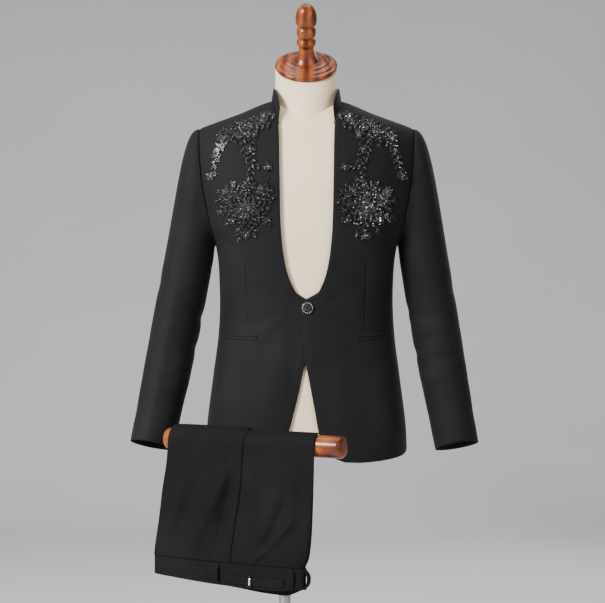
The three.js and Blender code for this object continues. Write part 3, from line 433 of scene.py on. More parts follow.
def sequin_cloth():
    """Dark petals set with tiny sequins: cells of random shade and gloss, a few of them bright."""
    material, tree, shader, place = new_material("sequined petals")
    cells = joined(tree, "ShaderNodeTexVoronoi", {"Vector": place, "Scale": 520.0}).outputs
    level = joined(tree, "ShaderNodeSeparateColor", {"Color": cells["Color"]}).outputs
    tones = [(0.7, (0.006, 0.006, 0.007)), (0.92, (0.022, 0.022, 0.025)), (0.99, (0.28, 0.28, 0.29))]
    set_inputs(shader, {
        "Base Color": ramp(tree, level["Red"], tones),
        "Roughness": varied(tree, level["Green"], 0.34, 0.68),
        "Specular IOR Level": 0.25,
        "Normal": bumped(tree, cells["Distance"], 0.6, 0.0006),
    })
    return material


def glassy(name, dark, light, metallic, roughness):
    """Small cut stones: a shade that differs from stone to stone over a glossy surface."""
    material, tree, shader, place = new_material(name)
    set_inputs(shader, {
        "Base Color": ramp(tree, noise(tree, place, 340.0, 1.0), [(0.38, dark), (0.62, light)]),
        "Metallic": metallic,
        "Roughness": roughness,
        "Specular IOR Level": 0.55,
        "Coat Weight": 0.25,
        "Coat Roughness": 0.12,
    })
    return material


JACKET_CLOTH = suiting("jacket twill", (0.0064, 0.0064, 0.0074), (0.0142, 0.0142, 0.0158), 0.66, 0.09)
TROUSER_TWILL = suiting("trouser twill", (0.0064, 0.0064, 0.0072), (0.0136, 0.0136, 0.0150), 0.68, 0.03)
FORM_COVER = jersey()
CAP_WOOD = varnished_wood("cap wood", (1.0, 1.0, 0.25))
ROD_WOOD = varnished_wood("rod wood", (0.25, 0.8, 1.0))
CHROME = polished("dark chrome", (0.34, 0.345, 0.355), 0.09)
# Bright metal of the strip that stands in for the slider's glint: a painted highlight
GLINT_METAL = polished("bright metal", (0.85, 0.85, 0.86), 0.2)
DARK_METAL = polished("slider metal", (0.022, 0.022, 0.024), 0.24)
PETALS = sequin_cloth()
JET = glassy("jet stones", (0.004, 0.004, 0.005), (0.02, 0.02, 0.023), 0.0, 0.16)
CRYSTAL = glassy("clear stones", (0.05, 0.05, 0.055), (0.62, 0.62, 0.64), 0.7, 0.2)


# Meshes
def squares(rows, spans, columns):
    """Corner numbers of a grid's squares. With as many spans as columns, each row closes."""
    r, c = np.meshgrid(np.arange(rows - 1), np.arange(spans), indexing="ij")
    here, there = r * columns, (r + 1) * columns
    d = (c + 1) % columns
    return np.stack([here + c, here + d, there + d, there + c], axis=-1).reshape(-1, 4)


def cut_map(points):
    """Distances along the cloth in metres: across each row from its middle column, and down
    the middle column from the first row."""
    middle = points.shape[1] // 2
    across = np.linalg.norm(np.diff(points, axis=1), axis=2)
    u = np.concatenate([np.zeros((len(points), 1)), np.cumsum(across, axis=1)], axis=1)
    u -= u[:, middle][:, None]
    down = lengths(points[:, middle])
    return np.stack([u, np.broadcast_to(down[:, None], u.shape)], axis=2)


def new_piece(name, mesh, materials):
    for material in materials:
        mesh.materials.append(material)
    piece = bpy.data.objects.new(name, mesh)
    bpy.context.collection.objects.link(piece)
    return piece


def grid_object(name, points_mm, inside_mm, material, loop=False, thickness=None):
    """A grid of points as a smooth mesh with its cut map. Faces are turned away from the inside
    points. With loop the columns run round; a thickness in millimetres gives the cloth's wall."""
    points = np.asarray(points_mm) * MM
    rows, columns = points.shape[:2]
    spans = columns if loop else columns - 1
    uv = cut_map(np.concatenate([points, points[:, :1]], axis=1) if loop else points)
    faces, corners = squares(rows, spans, columns), squares(rows, spans, spans + 1)
    flat = points.reshape(-1, 3)
    inside = np.broadcast_to(np.asarray(inside_mm, float) * MM, points.shape).reshape(-1, 3)
    first, second, third = (flat[faces[:, k]] for k in range(3))
    normal = np.cross(second - first, third - first)
    if np.sum(normal * (first - inside[faces[:, 0]])) < 0:
        faces, corners = faces[:, ::-1], corners[:, ::-1]
    mesh = bpy.data.meshes.new(name)
    mesh.from_pydata(flat.tolist(), [], faces.tolist())
    layer = mesh.uv_layers.new(name="cut")
    layer.data.foreach_set("uv", uv.reshape(-1, 2)[corners.reshape(-1)].astype(np.float32).reshape(-1))
    mesh.shade_smooth()
    piece = new_piece(name, mesh, [material])
    if thickness:
        wall = piece.modifiers.new("cloth wall", "SOLIDIFY")
        wall.thickness = thickness * MM
        wall.offset = -1
    return piece


def settle(piece, nodes=()):
    """The piece rides on the one body and stands for CAD nodes."""
    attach(piece, "root")
    if nodes:
        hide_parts(*nodes)


def turned(name, profile, material, place, segments=96):
    """A profile of radius and height carried round an axis. place maps (across, front, along)
    in millimetres to the frame."""
    radius, height = np.array(profile, float).T[:, :, None]
    turn = turns(segments)
    height = height + 0 * turn
    ring = place(radius * np.sin(turn), radius * np.cos(turn), height)
    axis = place(0 * height, 0 * height, height)
    return grid_object(name, ring, axis, material, loop=True)


def smooth_profile(rows, steps):
    """Rows of radius and height rounded into a finer profile, evenly by length along it."""
    rows = np.array(rows, float)
    table = np.column_stack([lengths(rows), rows])
    at = np.linspace(0, table[-1, 0], steps)
    return np.column_stack([np.maximum(curve(table, at, 1), 0), curve(table, at, 2)])


# The form of the jacket
def shoulder_roll(x, z, inset):
    """How much of the depth is left near the shoulder ridge, where the cloth rolls over."""
    ridge = curve(SHOULDER, np.abs(x)) - inset
    reach = mix(NECK_ROUND, TIP_ROUND, np.minimum(1, np.abs(x) / TIP_X))
    return quarter_round(np.clip((ridge - z) / reach, 0, 1))


def body_depth(ahead, x, z, inset=0, ridge_inset=0):
    """Depth at a place across and up, ahead of the middle or behind it. The insets set a
    smaller body inside this one."""
    half = curve(BODY, z) - inset
    deep = np.where(ahead, curve(BODY, z, FACE["front"]), curve(BODY, z, FACE["back"])) - inset
    return deep * flat_round(x / half, ROUNDNESS) * shoulder_roll(x, z, ridge_inset)


def angle_of(x, z):
    """The angle round the body at a place across: the arc sine of its share of the half-width,
    to the power that makes the round flatter."""
    return np.sign(x) * np.arcsin(np.minimum(1, np.abs(x) / curve(BODY, z)) ** (ROUNDNESS / 2))


def across_of(angle, z):
    """The place across at an angle round the body, which undoes angle_of."""
    return curve(BODY, z) * signed_power(np.sin(angle), 2 / ROUNDNESS)


def armhole_angle(z):
    """The side seam below the armpit; above it the armhole's edge, at a share of the depth."""
    climb = np.clip((z - ARMPIT_Z) / ARMHOLE_ROUND, 0, 1)
    return np.arccos((ARMHOLE_SPREAD * quarter_round(climb)) ** (ROUNDNESS / 2))


# Soft folds of the jacket: start and end across and up, half-width and depth (ridges negative)
FRONT_FOLDS = [
    (34, 1012, 118, 1060, 9, 1.6), (30, 1000, 128, 968, 10, 1.7), (26, 992, 108, 905, 11, 1.5),
    (150, 1120, 186, 1178, 8, 2.4), (128, 1130, 150, 1010, 15, -2.0), (168, 1090, 160, 930, 12, 2.2),
    (60, 930, 72, 716, 20, -2.2), (112, 900, 130, 712, 18, 2.0), (158, 900, 176, 716, 15, -1.8),
    (82, 1330, 120, 1200, 26, -1.6), (176, 1330, 168, 1215, 13, 1.8),
]
BACK_FOLDS = [
    (30, 1290, 150, 1235, 16, -2.4), (60, 1180, 168, 1130, 13, 2.2), (20, 1040, 150, 1010, 13, 2.4),
    (24, 985, 132, 960, 15, -2.0), (60, 930, 84, 722, 20, -2.6), (128, 900, 150, 722, 18, 2.4),
    (150, 1130, 184, 1190, 9, 2.6), (30, 1380, 120, 1330, 15, 1.4),
]
FOLD_TOP_GAP, FOLD_TOP_FADE = 8, 50
FOLD_WAVE, FOLD_SWAY, FOLD_WIDENING = 3.1, 0.35, 0.4
FOLD_START, FOLD_END, FOLD_LEFT_AT_ENDS = 2.6, 2.2, 0.25
CALM_EDGE, CALM_EDGE_START, CALM_FRONT_TOP, CALM_BACK_TOP = 8, 0.15, 14, 12
LEAST_PULL, LEAST_DEPTH = 0.2, 0.05
# Grid of a panel: ease of the rows up the side seam and of the columns, and lean to the edge
ROW_EASE, COLUMN_EASE, EDGE_LEAN = 0.25, 0.3, 1.05

# Seams of the panels: depth and half-width where the cloth is turned in
SIDE_SEAM = (0.9, 4.0)
FREE_EDGE = (0.5, 2.2)
CENTRE_SEAM = (1.0, 4.0)
SHOULDER_SEAM = (0.7, 4.5)
EDGE_STITCH_DEPTH, EDGE_STITCH_AT, EDGE_STITCH_WIDTH = 0.25, 5.5, 1.8
FRONT_WIDTH, BACK_WIDTH = 190, 200

# Dart of the front, and the cloth gathered on both sides of it
DART_TOP, DART_BOTTOM = (121, 1116), (116, 974)
DART_DEPTH, DART_WIDTH, DART_OVERRUN = 1.9, 1.7, 6
DART_LOW_FADE, DART_HIGH_FADE = 14, 40
GATHER_DEPTH, GATHER_WIDTH, GATHER_TOP_Z = 1.0, 16, 1160
GATHER_LOW_FADE, GATHER_HIGH_FADE = 40, 80
DART_CLEAR_Z = DART_BOTTOM[1] - DART_OVERRUN

# The right front tucks under the left one: across and height where this starts
TUCK_X, TUCK_X_FADE = 50, 30
TUCK_Z, TUCK_Z_FADE = 1052, 22
# Hollow of the back along its centre seam
HOLLOW_DEPTH, HOLLOW_WIDTH = 3.0, 26
HOLLOW_LOW_Z, HOLLOW_HIGH_Z, HOLLOW_FADE = 900, 1120, 90
CENTRE_GAP_ANGLE = 0.0004
# The shoulder seam is turned in above this height
SEAM_TOP_Z, SEAM_TOP_FADE = 1330, 40


def turned_in(distance, seam):
    """How far the cloth sinks at a distance from a seam of a depth and a half-width."""
    deep, wide = seam
    return deep * bell(distance, wide)


def folds(table, x, z, seed):
    """Sum of soft troughs: each falls off across its line, is deepest a little off its middle,
    and wavers by a slow sine along its length. All fade out towards the shoulder seam."""
    total = np.zeros(np.broadcast(x, z).shape)
    for i, (x0, z0, x1, z1, wide, deep) in enumerate(table):
        length = np.hypot(x1 - x0, z1 - z0)
        ax, az = (x1 - x0) / length, (z1 - z0) / length
        along_fold = ((x - x0) * ax + (z - z0) * az) / length
        aside = (x - x0) * az - (z - z0) * ax
        aside = aside + FOLD_SWAY * wide * np.sin(FOLD_WAVE * along_fold + seed + i)
        fade = smooth_step(along_fold * FOLD_START + FOLD_LEFT_AT_ENDS)
        fade = fade * smooth_step((1 - along_fold) * FOLD_END + FOLD_LEFT_AT_ENDS)
        total += deep * fade * bell(aside, wide * (1 + FOLD_WIDENING * along_fold))
    return total * smooth_step((curve(SHOULDER, np.abs(x)) - z - FOLD_TOP_GAP) / FOLD_TOP_FADE)


def body_point(side, face, angle, z, sink):
    """Place on a panel: round by the angle, up by the height, sunk inwards by the folds. Near
    the side the sinking goes sideways, and along the shoulder seam it goes down."""
    x = across_of(angle, z)
    y = body_depth(face == "front", x, z)
    pull = np.maximum(LEAST_PULL, 1 - (np.abs(x) / curve(BODY, z)) ** 4)
    x = x - sink * (1 - pull) * np.sign(x)
    y = np.maximum(y - sink * pull, LEAST_DEPTH)
    seam = turned_in(y, SHOULDER_SEAM) * smooth_step((z - SEAM_TOP_Z) / SEAM_TOP_FADE)
    return np.stack([FORM_X + side * x, (-1 if face == "front" else 1) * y, z - seam + 0 * x], axis=-1)


def seam_height(angle):
    """Height of the shoulder seam at an angle, found by steps: its place across depends on it."""
    z = NECK_POINT_Z + 0 * angle
    for _ in range(8):
        z = curve(SHOULDER, across_of(angle, z))
    return z


def side_heights(count_low, count_high):
    """Heights of the rows at the side: up the seam to the armpit, then up the armhole."""
    low = mix(SIDE_HEM_Z, ARMPIT_Z, eased(count_low, ROW_EASE))
    middle, half = (ARMPIT_Z + TIP_Z) / 2, (TIP_Z - ARMPIT_Z) / 2
    high = middle - half * np.cos(np.linspace(0, np.pi, count_high))
    return np.concatenate([low[:-1], high])[:, None]


def share_up(z):
    """Share of the way up the side, from the hem to the tip of the shoulder."""
    return (z - SIDE_HEM_Z) / (TIP_Z - SIDE_HEM_Z)


def from_dart(x, z):
    """Distance across from the dart's line."""
    return x - np.interp(z, (DART_BOTTOM[1], DART_TOP[1]), (DART_BOTTOM[0], DART_TOP[0]))


def front_folds(side, x, z, u, v):
    """Folds and gathered cloth of a front, calm along its free edge and its shoulder seam."""
    gathered = GATHER_DEPTH * bell(from_dart(x, z), GATHER_WIDTH)
    gathered = gathered * window(z, DART_CLEAR_Z, GATHER_LOW_FADE, GATHER_TOP_Z, GATHER_HIGH_FADE)
    calm = smooth_step(u * CALM_EDGE + CALM_EDGE_START) * smooth_step((1 - v) * CALM_FRONT_TOP)
    return (gathered + folds(FRONT_FOLDS, x, z, 1.0 + side)) * calm


def front_grid(side, edge, lap, columns=132, rows=(104, 52)):
    """Front panel: each row runs from the free edge round to the side seam or armhole; the rows
    climb from the hem to the shoulder seam."""
    side_z = side_heights(*rows)
    v = share_up(side_z)
    u = (eased(columns, COLUMN_EASE) ** EDGE_LEAN)[None, :]
    neck = angle_of(NECK_POINT_X, NECK_POINT_Z)
    tip = armhole_angle(TIP_Z)
    z = mix(curve(FRONT_HEM, u), seam_height(mix(neck, tip, u)), v)
    free = angle_of(curve(edge, z[:, :1]), z[:, :1])
    angle = mix(free, armhole_angle(side_z), u)
    x = across_of(angle, z)
    tuck = lap * smooth_step((TUCK_X - x) / TUCK_X_FADE) * smooth_step((TUCK_Z - z) / TUCK_Z_FADE)
    dart = DART_DEPTH * bell(from_dart(x, z), DART_WIDTH)
    dart = dart * window(z, DART_CLEAR_Z, DART_LOW_FADE, DART_TOP[1] + DART_OVERRUN, DART_HIGH_FADE)
    from_edge = u * FRONT_WIDTH
    seams = turned_in(from_edge, FREE_EDGE) + turned_in(FRONT_WIDTH - from_edge, SIDE_SEAM)
    stitch = EDGE_STITCH_DEPTH * bell(from_edge - EDGE_STITCH_AT, EDGE_STITCH_WIDTH)
    sink = dart + front_folds(side, x, z, u, v) + seams - stitch + tuck
    return body_point(side, "front", angle, z, sink)


def neckline_height(x):
    """Height of the neckline on the back: there the body's depth is that of the neck's round."""
    reach = NECK_BACK_DEPTH * np.sqrt(np.maximum(0, 1 - (x / NECK_POINT_X) ** 2))
    share = reach / curve(BODY, NECK_POINT_Z, FACE["back"])
    return curve(SHOULDER, x) - NECK_ROUND * (1 - np.sqrt(1 - share**2))


def back_grid(side, columns=110, rows=(90, 50)):
    """Back panel: rows from the centre seam to the side, climbing to the neckline and shoulder."""
    v = share_up(side_heights(*rows))
    u = eased(columns, COLUMN_EASE)[None, :]
    turn = u * armhole_angle(TIP_Z)
    top_x = across_of(turn, NECK_POINT_Z)
    top = np.where(top_x < NECK_POINT_X, neckline_height(np.minimum(top_x, NECK_POINT_X)), seam_height(turn))
    z = mix(curve(BACK_HEM, u), top, v)
    angle = np.maximum(u * armhole_angle(z), CENTRE_GAP_ANGLE)
    x = across_of(angle, z)
    from_seam = u * BACK_WIDTH
    seams = turned_in(from_seam, CENTRE_SEAM) + turned_in(BACK_WIDTH - from_seam, SIDE_SEAM)
    hollow = HOLLOW_DEPTH * bell(x, HOLLOW_WIDTH)
    hollow = hollow * window(z, HOLLOW_LOW_Z, HOLLOW_FADE, HOLLOW_HIGH_Z, HOLLOW_FADE)
    calm = smooth_step((1 - v) * CALM_BACK_TOP)
    sink = folds(BACK_FOLDS, x, z, 3.0 + side) * calm + seams + hollow
    return body_point(side, "back", angle, z, sink)


def axis_points(points):
    """The form's middle line at the height of each point, as the inside of a panel."""
    return points * (0, 0, 1) + (FORM_X, 0, 0)


def make_panel(name, points):
    """One panel of the jacket."""
    piece = grid_object(name + "_cloth", points, axis_points(points), JACKET_CLOTH, thickness=CLOTH)
    settle(piece, [name])


# Dress form, set in from the jacket and cut square where the arms would be: height, half-width
FORM = np.array([
    (742, 192), (760, 194), (873, 181), (951, 171.5), (1046, 169), (1134, 175), (1181, 184),
    (1265, 194), (1362, 206), (1440, 206),
], float)
FIT_GAP = 0.3
FORM_INSET = 8
FORM_RIDGE_INSET = 2.6
HIDDEN_INSET = 4.5
FORM_TOP, FORM_ROLL = 1431, 91
FORM_SIDE_POWER, FORM_EDGE_POWER = 0.85, 5
FORM_EDGE_Z, FORM_EDGE_TUCK = 748, 0.05
FORM_LOW_ROWS = (FORM_BOTTOM, 744, FORM_EDGE_Z, 756)


def form_grid():
    """Rings of the form, closer together where its top rounds over to the shoulder ridge."""
    top_rows = FORM_TOP - FORM_ROLL * np.cos(np.linspace(0, QUARTER_TURN, 34))[1:]
    middle_rows = np.linspace(770, FORM_TOP - FORM_ROLL, 60)
    z = np.concatenate([FORM_LOW_ROWS, middle_rows, top_rows])[:, None]
    turn = turns(144)[None, :]
    reach = np.linspace(0, 240, 900)
    ridge = np.interp(-z, HIDDEN_INSET - curve(SHOULDER, reach), reach)
    half = np.minimum(curve(FORM, z), ridge)
    x = half * signed_power(np.sin(turn), FORM_SIDE_POWER)
    front = np.cos(turn) >= 0
    y = body_depth(front, x, z, FORM_INSET, HIDDEN_INSET) * flat_round(x / half, FORM_EDGE_POWER)
    tucked = 1 - FORM_EDGE_TUCK * np.clip((FORM_EDGE_Z - z) / 6, 0, 1)
    return np.stack([FORM_X + x * tucked, np.where(front, -y, y) * tucked, z + 0 * x], axis=-1)


# Neck of the form: where it starts, how it runs into the chest, and where it is plain round
NECK_LOW_Z = 1318
NECK_SIDE_REACH, NECK_MOST_REACH = 45, 112
NECK_BLEND = 20.0
AHEAD_FROM, AHEAD_OVER = 0.3, 0.4
NECK_LIFT, NECK_TOP_EASE = 0.2, 0.35
NECK_PLAIN_Z, NECK_PLAIN_FADE = 1372, 32


def neck_grid():
    """Rings of the neck. Low down each ring is a soft joint of the neck's round and the form's
    own reach in the same direction, so the neck runs into the chest. From the shoulders up
    the level ring turns evenly into the tilted one under the cap."""
    turn = turns(128)[None, :]
    z = np.linspace(NECK_LOW_Z, NECK_FOOT_Z, 44)[:, None] + 0 * turn
    reach = np.ones_like(z)
    for step in np.arange(2, NECK_MOST_REACH, 1.0):
        x, y = step * np.sin(turn), NECK_FOOT_Y - step * np.cos(turn)
        inside = body_depth(y < 0, x, z, FORM_INSET, FORM_RIDGE_INSET) > np.abs(y)
        reach = np.where(inside & (reach >= step - 1.5), step + NECK_LIFT, reach)
    for _ in range(4):
        reach = (np.roll(reach, 1, axis=1) + 2 * reach + np.roll(reach, -1, axis=1)) / 4
        reach[1:-1] = (reach[:-2] + 2 * reach[1:-1] + reach[2:]) / 4
    ahead = smooth_step((np.cos(turn) - AHEAD_FROM) / AHEAD_OVER)
    reach = mix(np.minimum(reach, NECK_SIDE_REACH), reach, ahead)
    near = np.maximum(NECK_BLEND - np.abs(NECK_RADIUS - reach), 0) / NECK_BLEND
    radius = np.maximum(NECK_RADIUS, reach) + near**2 * NECK_BLEND / 4
    radius = mix(radius, NECK_RADIUS, smooth_step((z - NECK_PLAIN_Z) / NECK_PLAIN_FADE))
    low = np.stack([FORM_X + radius * np.sin(turn), NECK_FOOT_Y - radius * np.cos(turn), z], axis=-1)
    under_cap = CAP_UNDERSIDE - FIT_GAP + 0 * turn
    tilted = cap_point(NECK_RADIUS * np.sin(turn), NECK_RADIUS * np.cos(turn), under_cap)
    t = np.linspace(0, 1, 34)[1:, None, None]
    rise = mix(t, smooth_step(t), NECK_TOP_EASE)
    return np.concatenate([low, mix(low[-1], tilted[0], np.concatenate([t, t, rise], axis=2))])


def closed_end(grid, row):
    """The grid with its first or last ring drawn in to that ring's middle."""
    ring = grid[row]
    steps = np.array([mix(ring, ring.mean(axis=0), share) for share in (0.5, 0.999)])
    return np.concatenate([steps[::-1], grid]) if row == 0 else np.concatenate([grid, steps])


def ring_centres(grid):
    """The middle of each ring, as the inside of a tube."""
    return np.broadcast_to(grid.mean(axis=1, keepdims=True), grid.shape)


def make_form():
    """The cream body, closed at both ends, and its neck, closed at its top."""
    body = closed_end(closed_end(form_grid(), 0), -1)
    neck = closed_end(neck_grid(), -1)
    settle(grid_object("form_body", body, ring_centres(body), FORM_COVER, loop=True), ["torso"])
    settle(grid_object("form_neck", neck, ring_centres(neck), FORM_COVER, loop=True))


# Profiles of the cap, the base, the rod's end and the bracket: radius, height along the axis
CAP_PROFILE = [
    (0.01, -13), (40, -13), (59, -13), (61, -12.6), (61, -10.4), (63, -10), (64, -8.6), (64, -6),
    (62.8, -3.2), (60, -2), (57, -1.6), (55.4, -0.6), (54.4, 0.9), (52, 1.6), (46, 2.2), (44.2, 3.1),
    (43.2, 4.6), (40, 5.6), (34, 6.2), (29, 5.6), (25.6, 6.0), (23, 9.6), (19.4, 15.5), (17, 24),
    (15.8, 31), (15.6, 36), (17, 39.4), (19.2, 42.4), (19.9, 46.5), (19.2, 50.4), (16.4, 53),
    (15.1, 55), (16, 57), (18.6, 60), (19.8, 64), (20, 70), (19.2, 75), (17, 79), (16, 81),
    (17.2, 83.4), (20.6, 86.6), (21.8, 91), (22.2, 97), (21.6, 104), (20, 111), (17.2, 117.6),
    (13, 123), (7.5, 126.8), (0.01, 128),
]
BASE_PROFILE = [
    (0.01, 0), (120, 0), (188, 0), (189.6, 0.7), (190, 2), (190, 5), (188.6, 6.8), (184, 8),
    (150, 9.4), (100, 11.4), (60, 13), (44, 13.8), (36, 15), (30, 15.1), (14, 15.1), (0.01, 15.1),
]
ROD_END = [(0.01, 0), (12, 0), (15, 0.1), (18.2, 1.2), (19.9, 3.4), (20.75, 7)]
CLAMP_PROFILE = [(12.4, -15), (20.4, -15), (21, -14.4), (21, 14.4), (20.4, 15), (12.4, 15), (12.4, -15)]
BRACKET_Z, BRACKET_S, BRACKET_RADIUS = 676, -26, 7
ARM_START = 18
POLE_MIDDLE_Z = 400
STEM_FOOT = [(0.01, -8), (5, -6.6), (8, 0), (7.4, 5), (7, 8)]


def cap_point(across, front, along_axis):
    """Place on the tilted axis of the cap: across it, towards its front and along it."""
    y = CAP_Y - front * np.cos(CAP_TILT) - along_axis * np.sin(CAP_TILT)
    z = CAP_Z - front * np.sin(CAP_TILT) + along_axis * np.cos(CAP_TILT)
    return np.stack([FORM_X + across, y, z], axis=-1)


def upright(x, y, z=0.0):
    """Places round an upright axis that starts at x, y, z."""
    return lambda across, front, up: np.stack([x + across, y - front, z + up], axis=-1)


def make_stand():
    """Turned cap on the neck, round base plate and upright pole."""
    cap = turned("neck_cap_turned", smooth_profile(CAP_PROFILE, 190), CAP_WOOD, cap_point)
    plate = turned("base_plate", smooth_profile(BASE_PROFILE, 90), CHROME, upright(0, 0), 160)
    low, high = BASE_HEIGHT + FIT_GAP, FORM_BOTTOM - FIT_GAP
    side = [(POLE_RADIUS, z) for z in (low, POLE_MIDDLE_Z, high)]
    tube = [(0.01, low), *side, (0.01, high)]
    settle(cap, ["neck_cap"])
    settle(plate, ["base"])
    settle(turned("pole_tube", tube, CHROME, upright(0, 0), 64), ["pole"])


def rod_point(s, n, z):
    """Place in the rod's own frame: s along it, n towards the viewer."""
    c, d = np.cos(ROD_YAW), np.sin(ROD_YAW)
    s, n, z = np.broadcast_arrays(s, n, z)
    return np.stack([ROD_X + s * c + n * d, ROD_Y + s * d - n * c, z], axis=-1)


def make_rod():
    """Turned wooden rod with rounded ends, along its own axis."""
    half = ROD_LENGTH / 2
    low = [(radius, inwards - half) for radius, inwards in ROD_END]
    profile = low + [(ROD_RADIUS, 0)] + [(radius, -place) for radius, place in low[::-1]]

    def along_rod(across, front, way):
        return rod_point(way, front, ROD_Z + across)

    settle(turned("trouser_rod_turned", profile, ROD_WOOD, along_rod, 72), ["trouser_rod"])


def make_bracket():
    """Clamp ring on the pole, an arm forwards and a stem up to the rod, each turned on its own
    straight line."""
    foot = rod_point(BRACKET_S, 0.0, BRACKET_Z)
    reach = np.linalg.norm(foot[:2])
    out = foot[:2] / reach
    sides = np.array([-out[1], out[0]])

    def along_arm(across, front, way):
        level = out * way[..., None] + sides * across[..., None]
        return np.concatenate([level, (BRACKET_Z + front)[..., None]], axis=-1)

    arm = [(BRACKET_RADIUS, ARM_START), (BRACKET_RADIUS, reach)]
    stem = STEM_FOOT + [(BRACKET_RADIUS, ROD_Z - ROD_RADIUS - BRACKET_Z - FIT_GAP)]
    clamp = turned("bracket_clamp", CLAMP_PROFILE, CHROME, upright(0, 0, BRACKET_Z), 48)
    settle(clamp, ["rod_bracket"])
    settle(turned("bracket_arm", arm, CHROME, along_arm, 32))
    settle(turned("bracket_stem", stem, CHROME, upright(foot[0], foot[1], BRACKET_Z), 32))


make_form()
make_stand()
make_rod()
make_bracket()

# Jacket body
make_panel("jacket_front_left", front_grid(1, OVER_EDGE, 0))
make_panel("jacket_front_right", front_grid(-1, UNDER_EDGE, LAP_DEPTH))
make_panel("jacket_back_left", back_grid(1))
make_panel("jacket_back_right", back_grid(-1))

# Sleeves
ARM_COLUMNS = 96
# distance down, angle round from the body side over the front, half-height, half-angle, depth
SLEEVE_FOLDS = [
    (108, 30, 12, 60, 2.6), (150, 100, 13, 55, -1.8), (182, 20, 13, 50, 3.0), (214, 80, 14, 60, 2.2),
    (246, 40, 12, 45, -1.8), (262, 96, 12, 50, 1.8), (300, 60, 16, 60, 1.2), (70, 150, 18, 60, 1.6),
    (170, 250, 14, 60, 2.2), (215, 290, 14, 60, -2.0), (250, 240, 13, 50, 1.8), (120, 320, 16, 60, 2.0),
    (330, 200, 22, 60, 1.0),
]
SLEEVE_SEAMS = (40, 318)
SLEEVE_RIDGE_AT, SLEEVE_RIDGE_WIDTH, SLEEVE_RIDGE = 104, 15, 1.6
SLEEVE_SEAM_DEPTH, SLEEVE_SEAM_ANGLE = 0.8, 0.028
CUFF_STITCH_UP, CUFF_STITCH_DEPTH, CUFF_STITCH_WIDTH = 30, 0.35, 2.2
FOLD_SLANT, FOLD_TURNING = 17, 1.7
# Where the folds, the ridge and the seams start, how soon they are full, and the folds' end
ARM_FOLDS_FROM, ARM_FOLDS_OVER, ARM_FOLDS_END, ARM_FOLDS_END_OVER = -20, 60, 6, 40
RIDGE_FROM, RIDGE_OVER, SEAM_FROM, SEAM_OVER = 20, 90, -10, 30
# How the armhole's edge looks outwards and forwards, and how the head leaves it
ARMHOLE_OUT, ARMHOLE_AHEAD = 0.86, 0.5
HEAD_OUT, HEAD_AHEAD, HEAD_UP = (0.95, 1), -0.15, (-0.1, 0.03)
HEAD_LOW_LEAVE, HEAD_HIGH_LEAVE, HEAD_MEET = 4, 32, 0.6
ARMHOLE_GAP = 0.7


def armhole_ring(side):
    """Up the front edge of the armhole and down its back edge, just off the body."""
    turn = turns(ARM_COLUMNS)
    z = (ARMPIT_Z + TIP_Z) / 2 - (TIP_Z - ARMPIT_Z) / 2 * np.cos(turn)
    angle = armhole_angle(z)
    front = body_point(side, "front", angle, z, 0.0)
    back = body_point(side, "back", angle, z, 0.0)
    point = np.where((turn <= np.pi)[:, None], front, back)
    point[0, 1] = point[ARM_COLUMNS // 2, 1] = 0
    outwards = side * (ARMHOLE_OUT * np.abs(np.sin(turn)) + np.maximum(0, -np.cos(turn)))
    onwards = np.stack([outwards, ARMHOLE_AHEAD * np.sin(turn), np.maximum(0, np.cos(turn))], axis=-1)
    return point + ARMHOLE_GAP * unit(onwards), turn


def sleeve_centre(side, lean, d):
    """The sleeve's middle line: straight down and out at its lean, bent forwards by the table."""
    x = FORM_X + side * (SLEEVE_X + d * np.sin(lean))
    return np.stack([x, -curve(SLEEVE, d), SLEEVE_Z - d * np.cos(lean)], axis=-1)


def sleeve_sink(side, t, turn):
    """How far the sleeve's cloth lies in: short slanting folds, the soft ridge along its front,
    the two seams and the line of the hem's stitches."""
    sink = 0
    for i, (at, degrees, tall, wide, deep) in enumerate(SLEEVE_FOLDS):
        aside = angle_from(turn, degrees)
        slope = at + FOLD_SLANT * np.sin(FOLD_TURNING * i + side) * aside
        sink = sink + deep * bell(t - slope, tall) * bell(aside, np.radians(wide))
    end = SLEEVE_LENGTH - ARM_FOLDS_END
    sink = sink * window(t, ARM_FOLDS_FROM, ARM_FOLDS_OVER, end, ARM_FOLDS_END_OVER)
    ridge = bell(turn - np.radians(SLEEVE_RIDGE_AT), np.radians(SLEEVE_RIDGE_WIDTH))
    seams = sum(bell(angle_from(turn, degrees), SLEEVE_SEAM_ANGLE) for degrees in SLEEVE_SEAMS)
    stitch = bell(t - (SLEEVE_LENGTH - CUFF_STITCH_UP), CUFF_STITCH_WIDTH)
    sink = sink - SLEEVE_RIDGE * ridge * smooth_step((t - RIDGE_FROM) / RIDGE_OVER)
    sink = sink + SLEEVE_SEAM_DEPTH * seams * smooth_step((t - SEAM_FROM) / SEAM_OVER)
    return sink - CUFF_STITCH_DEPTH * stitch


def sleeve_tube(side, lean, t, turn):
    """Rings square to the sleeve's middle line, each an ellipse sunk by the folds."""
    above = sleeve_centre(side, lean, np.maximum(t - 8, 0))
    below = sleeve_centre(side, lean, np.minimum(t + 8, SLEEVE_LENGTH))
    out = np.array([side * np.cos(lean), 0, np.sin(lean)])
    front = np.cross(unit(below - above), out)
    front = unit(front * np.where(front[:, 1] > 0, -1, 1)[:, None])
    centre = sleeve_centre(side, lean, t)[:, None, :]
    t, turn = t[:, None], turn[None, :]
    sink = sleeve_sink(side, t, turn)
    wide = -(curve(SLEEVE, t, 2) - sink) * np.cos(turn)
    deep = (curve(SLEEVE, t, 3) - sink) * np.sin(turn)
    return centre + wide[..., None] * out + deep[..., None] * front[:, None, :]


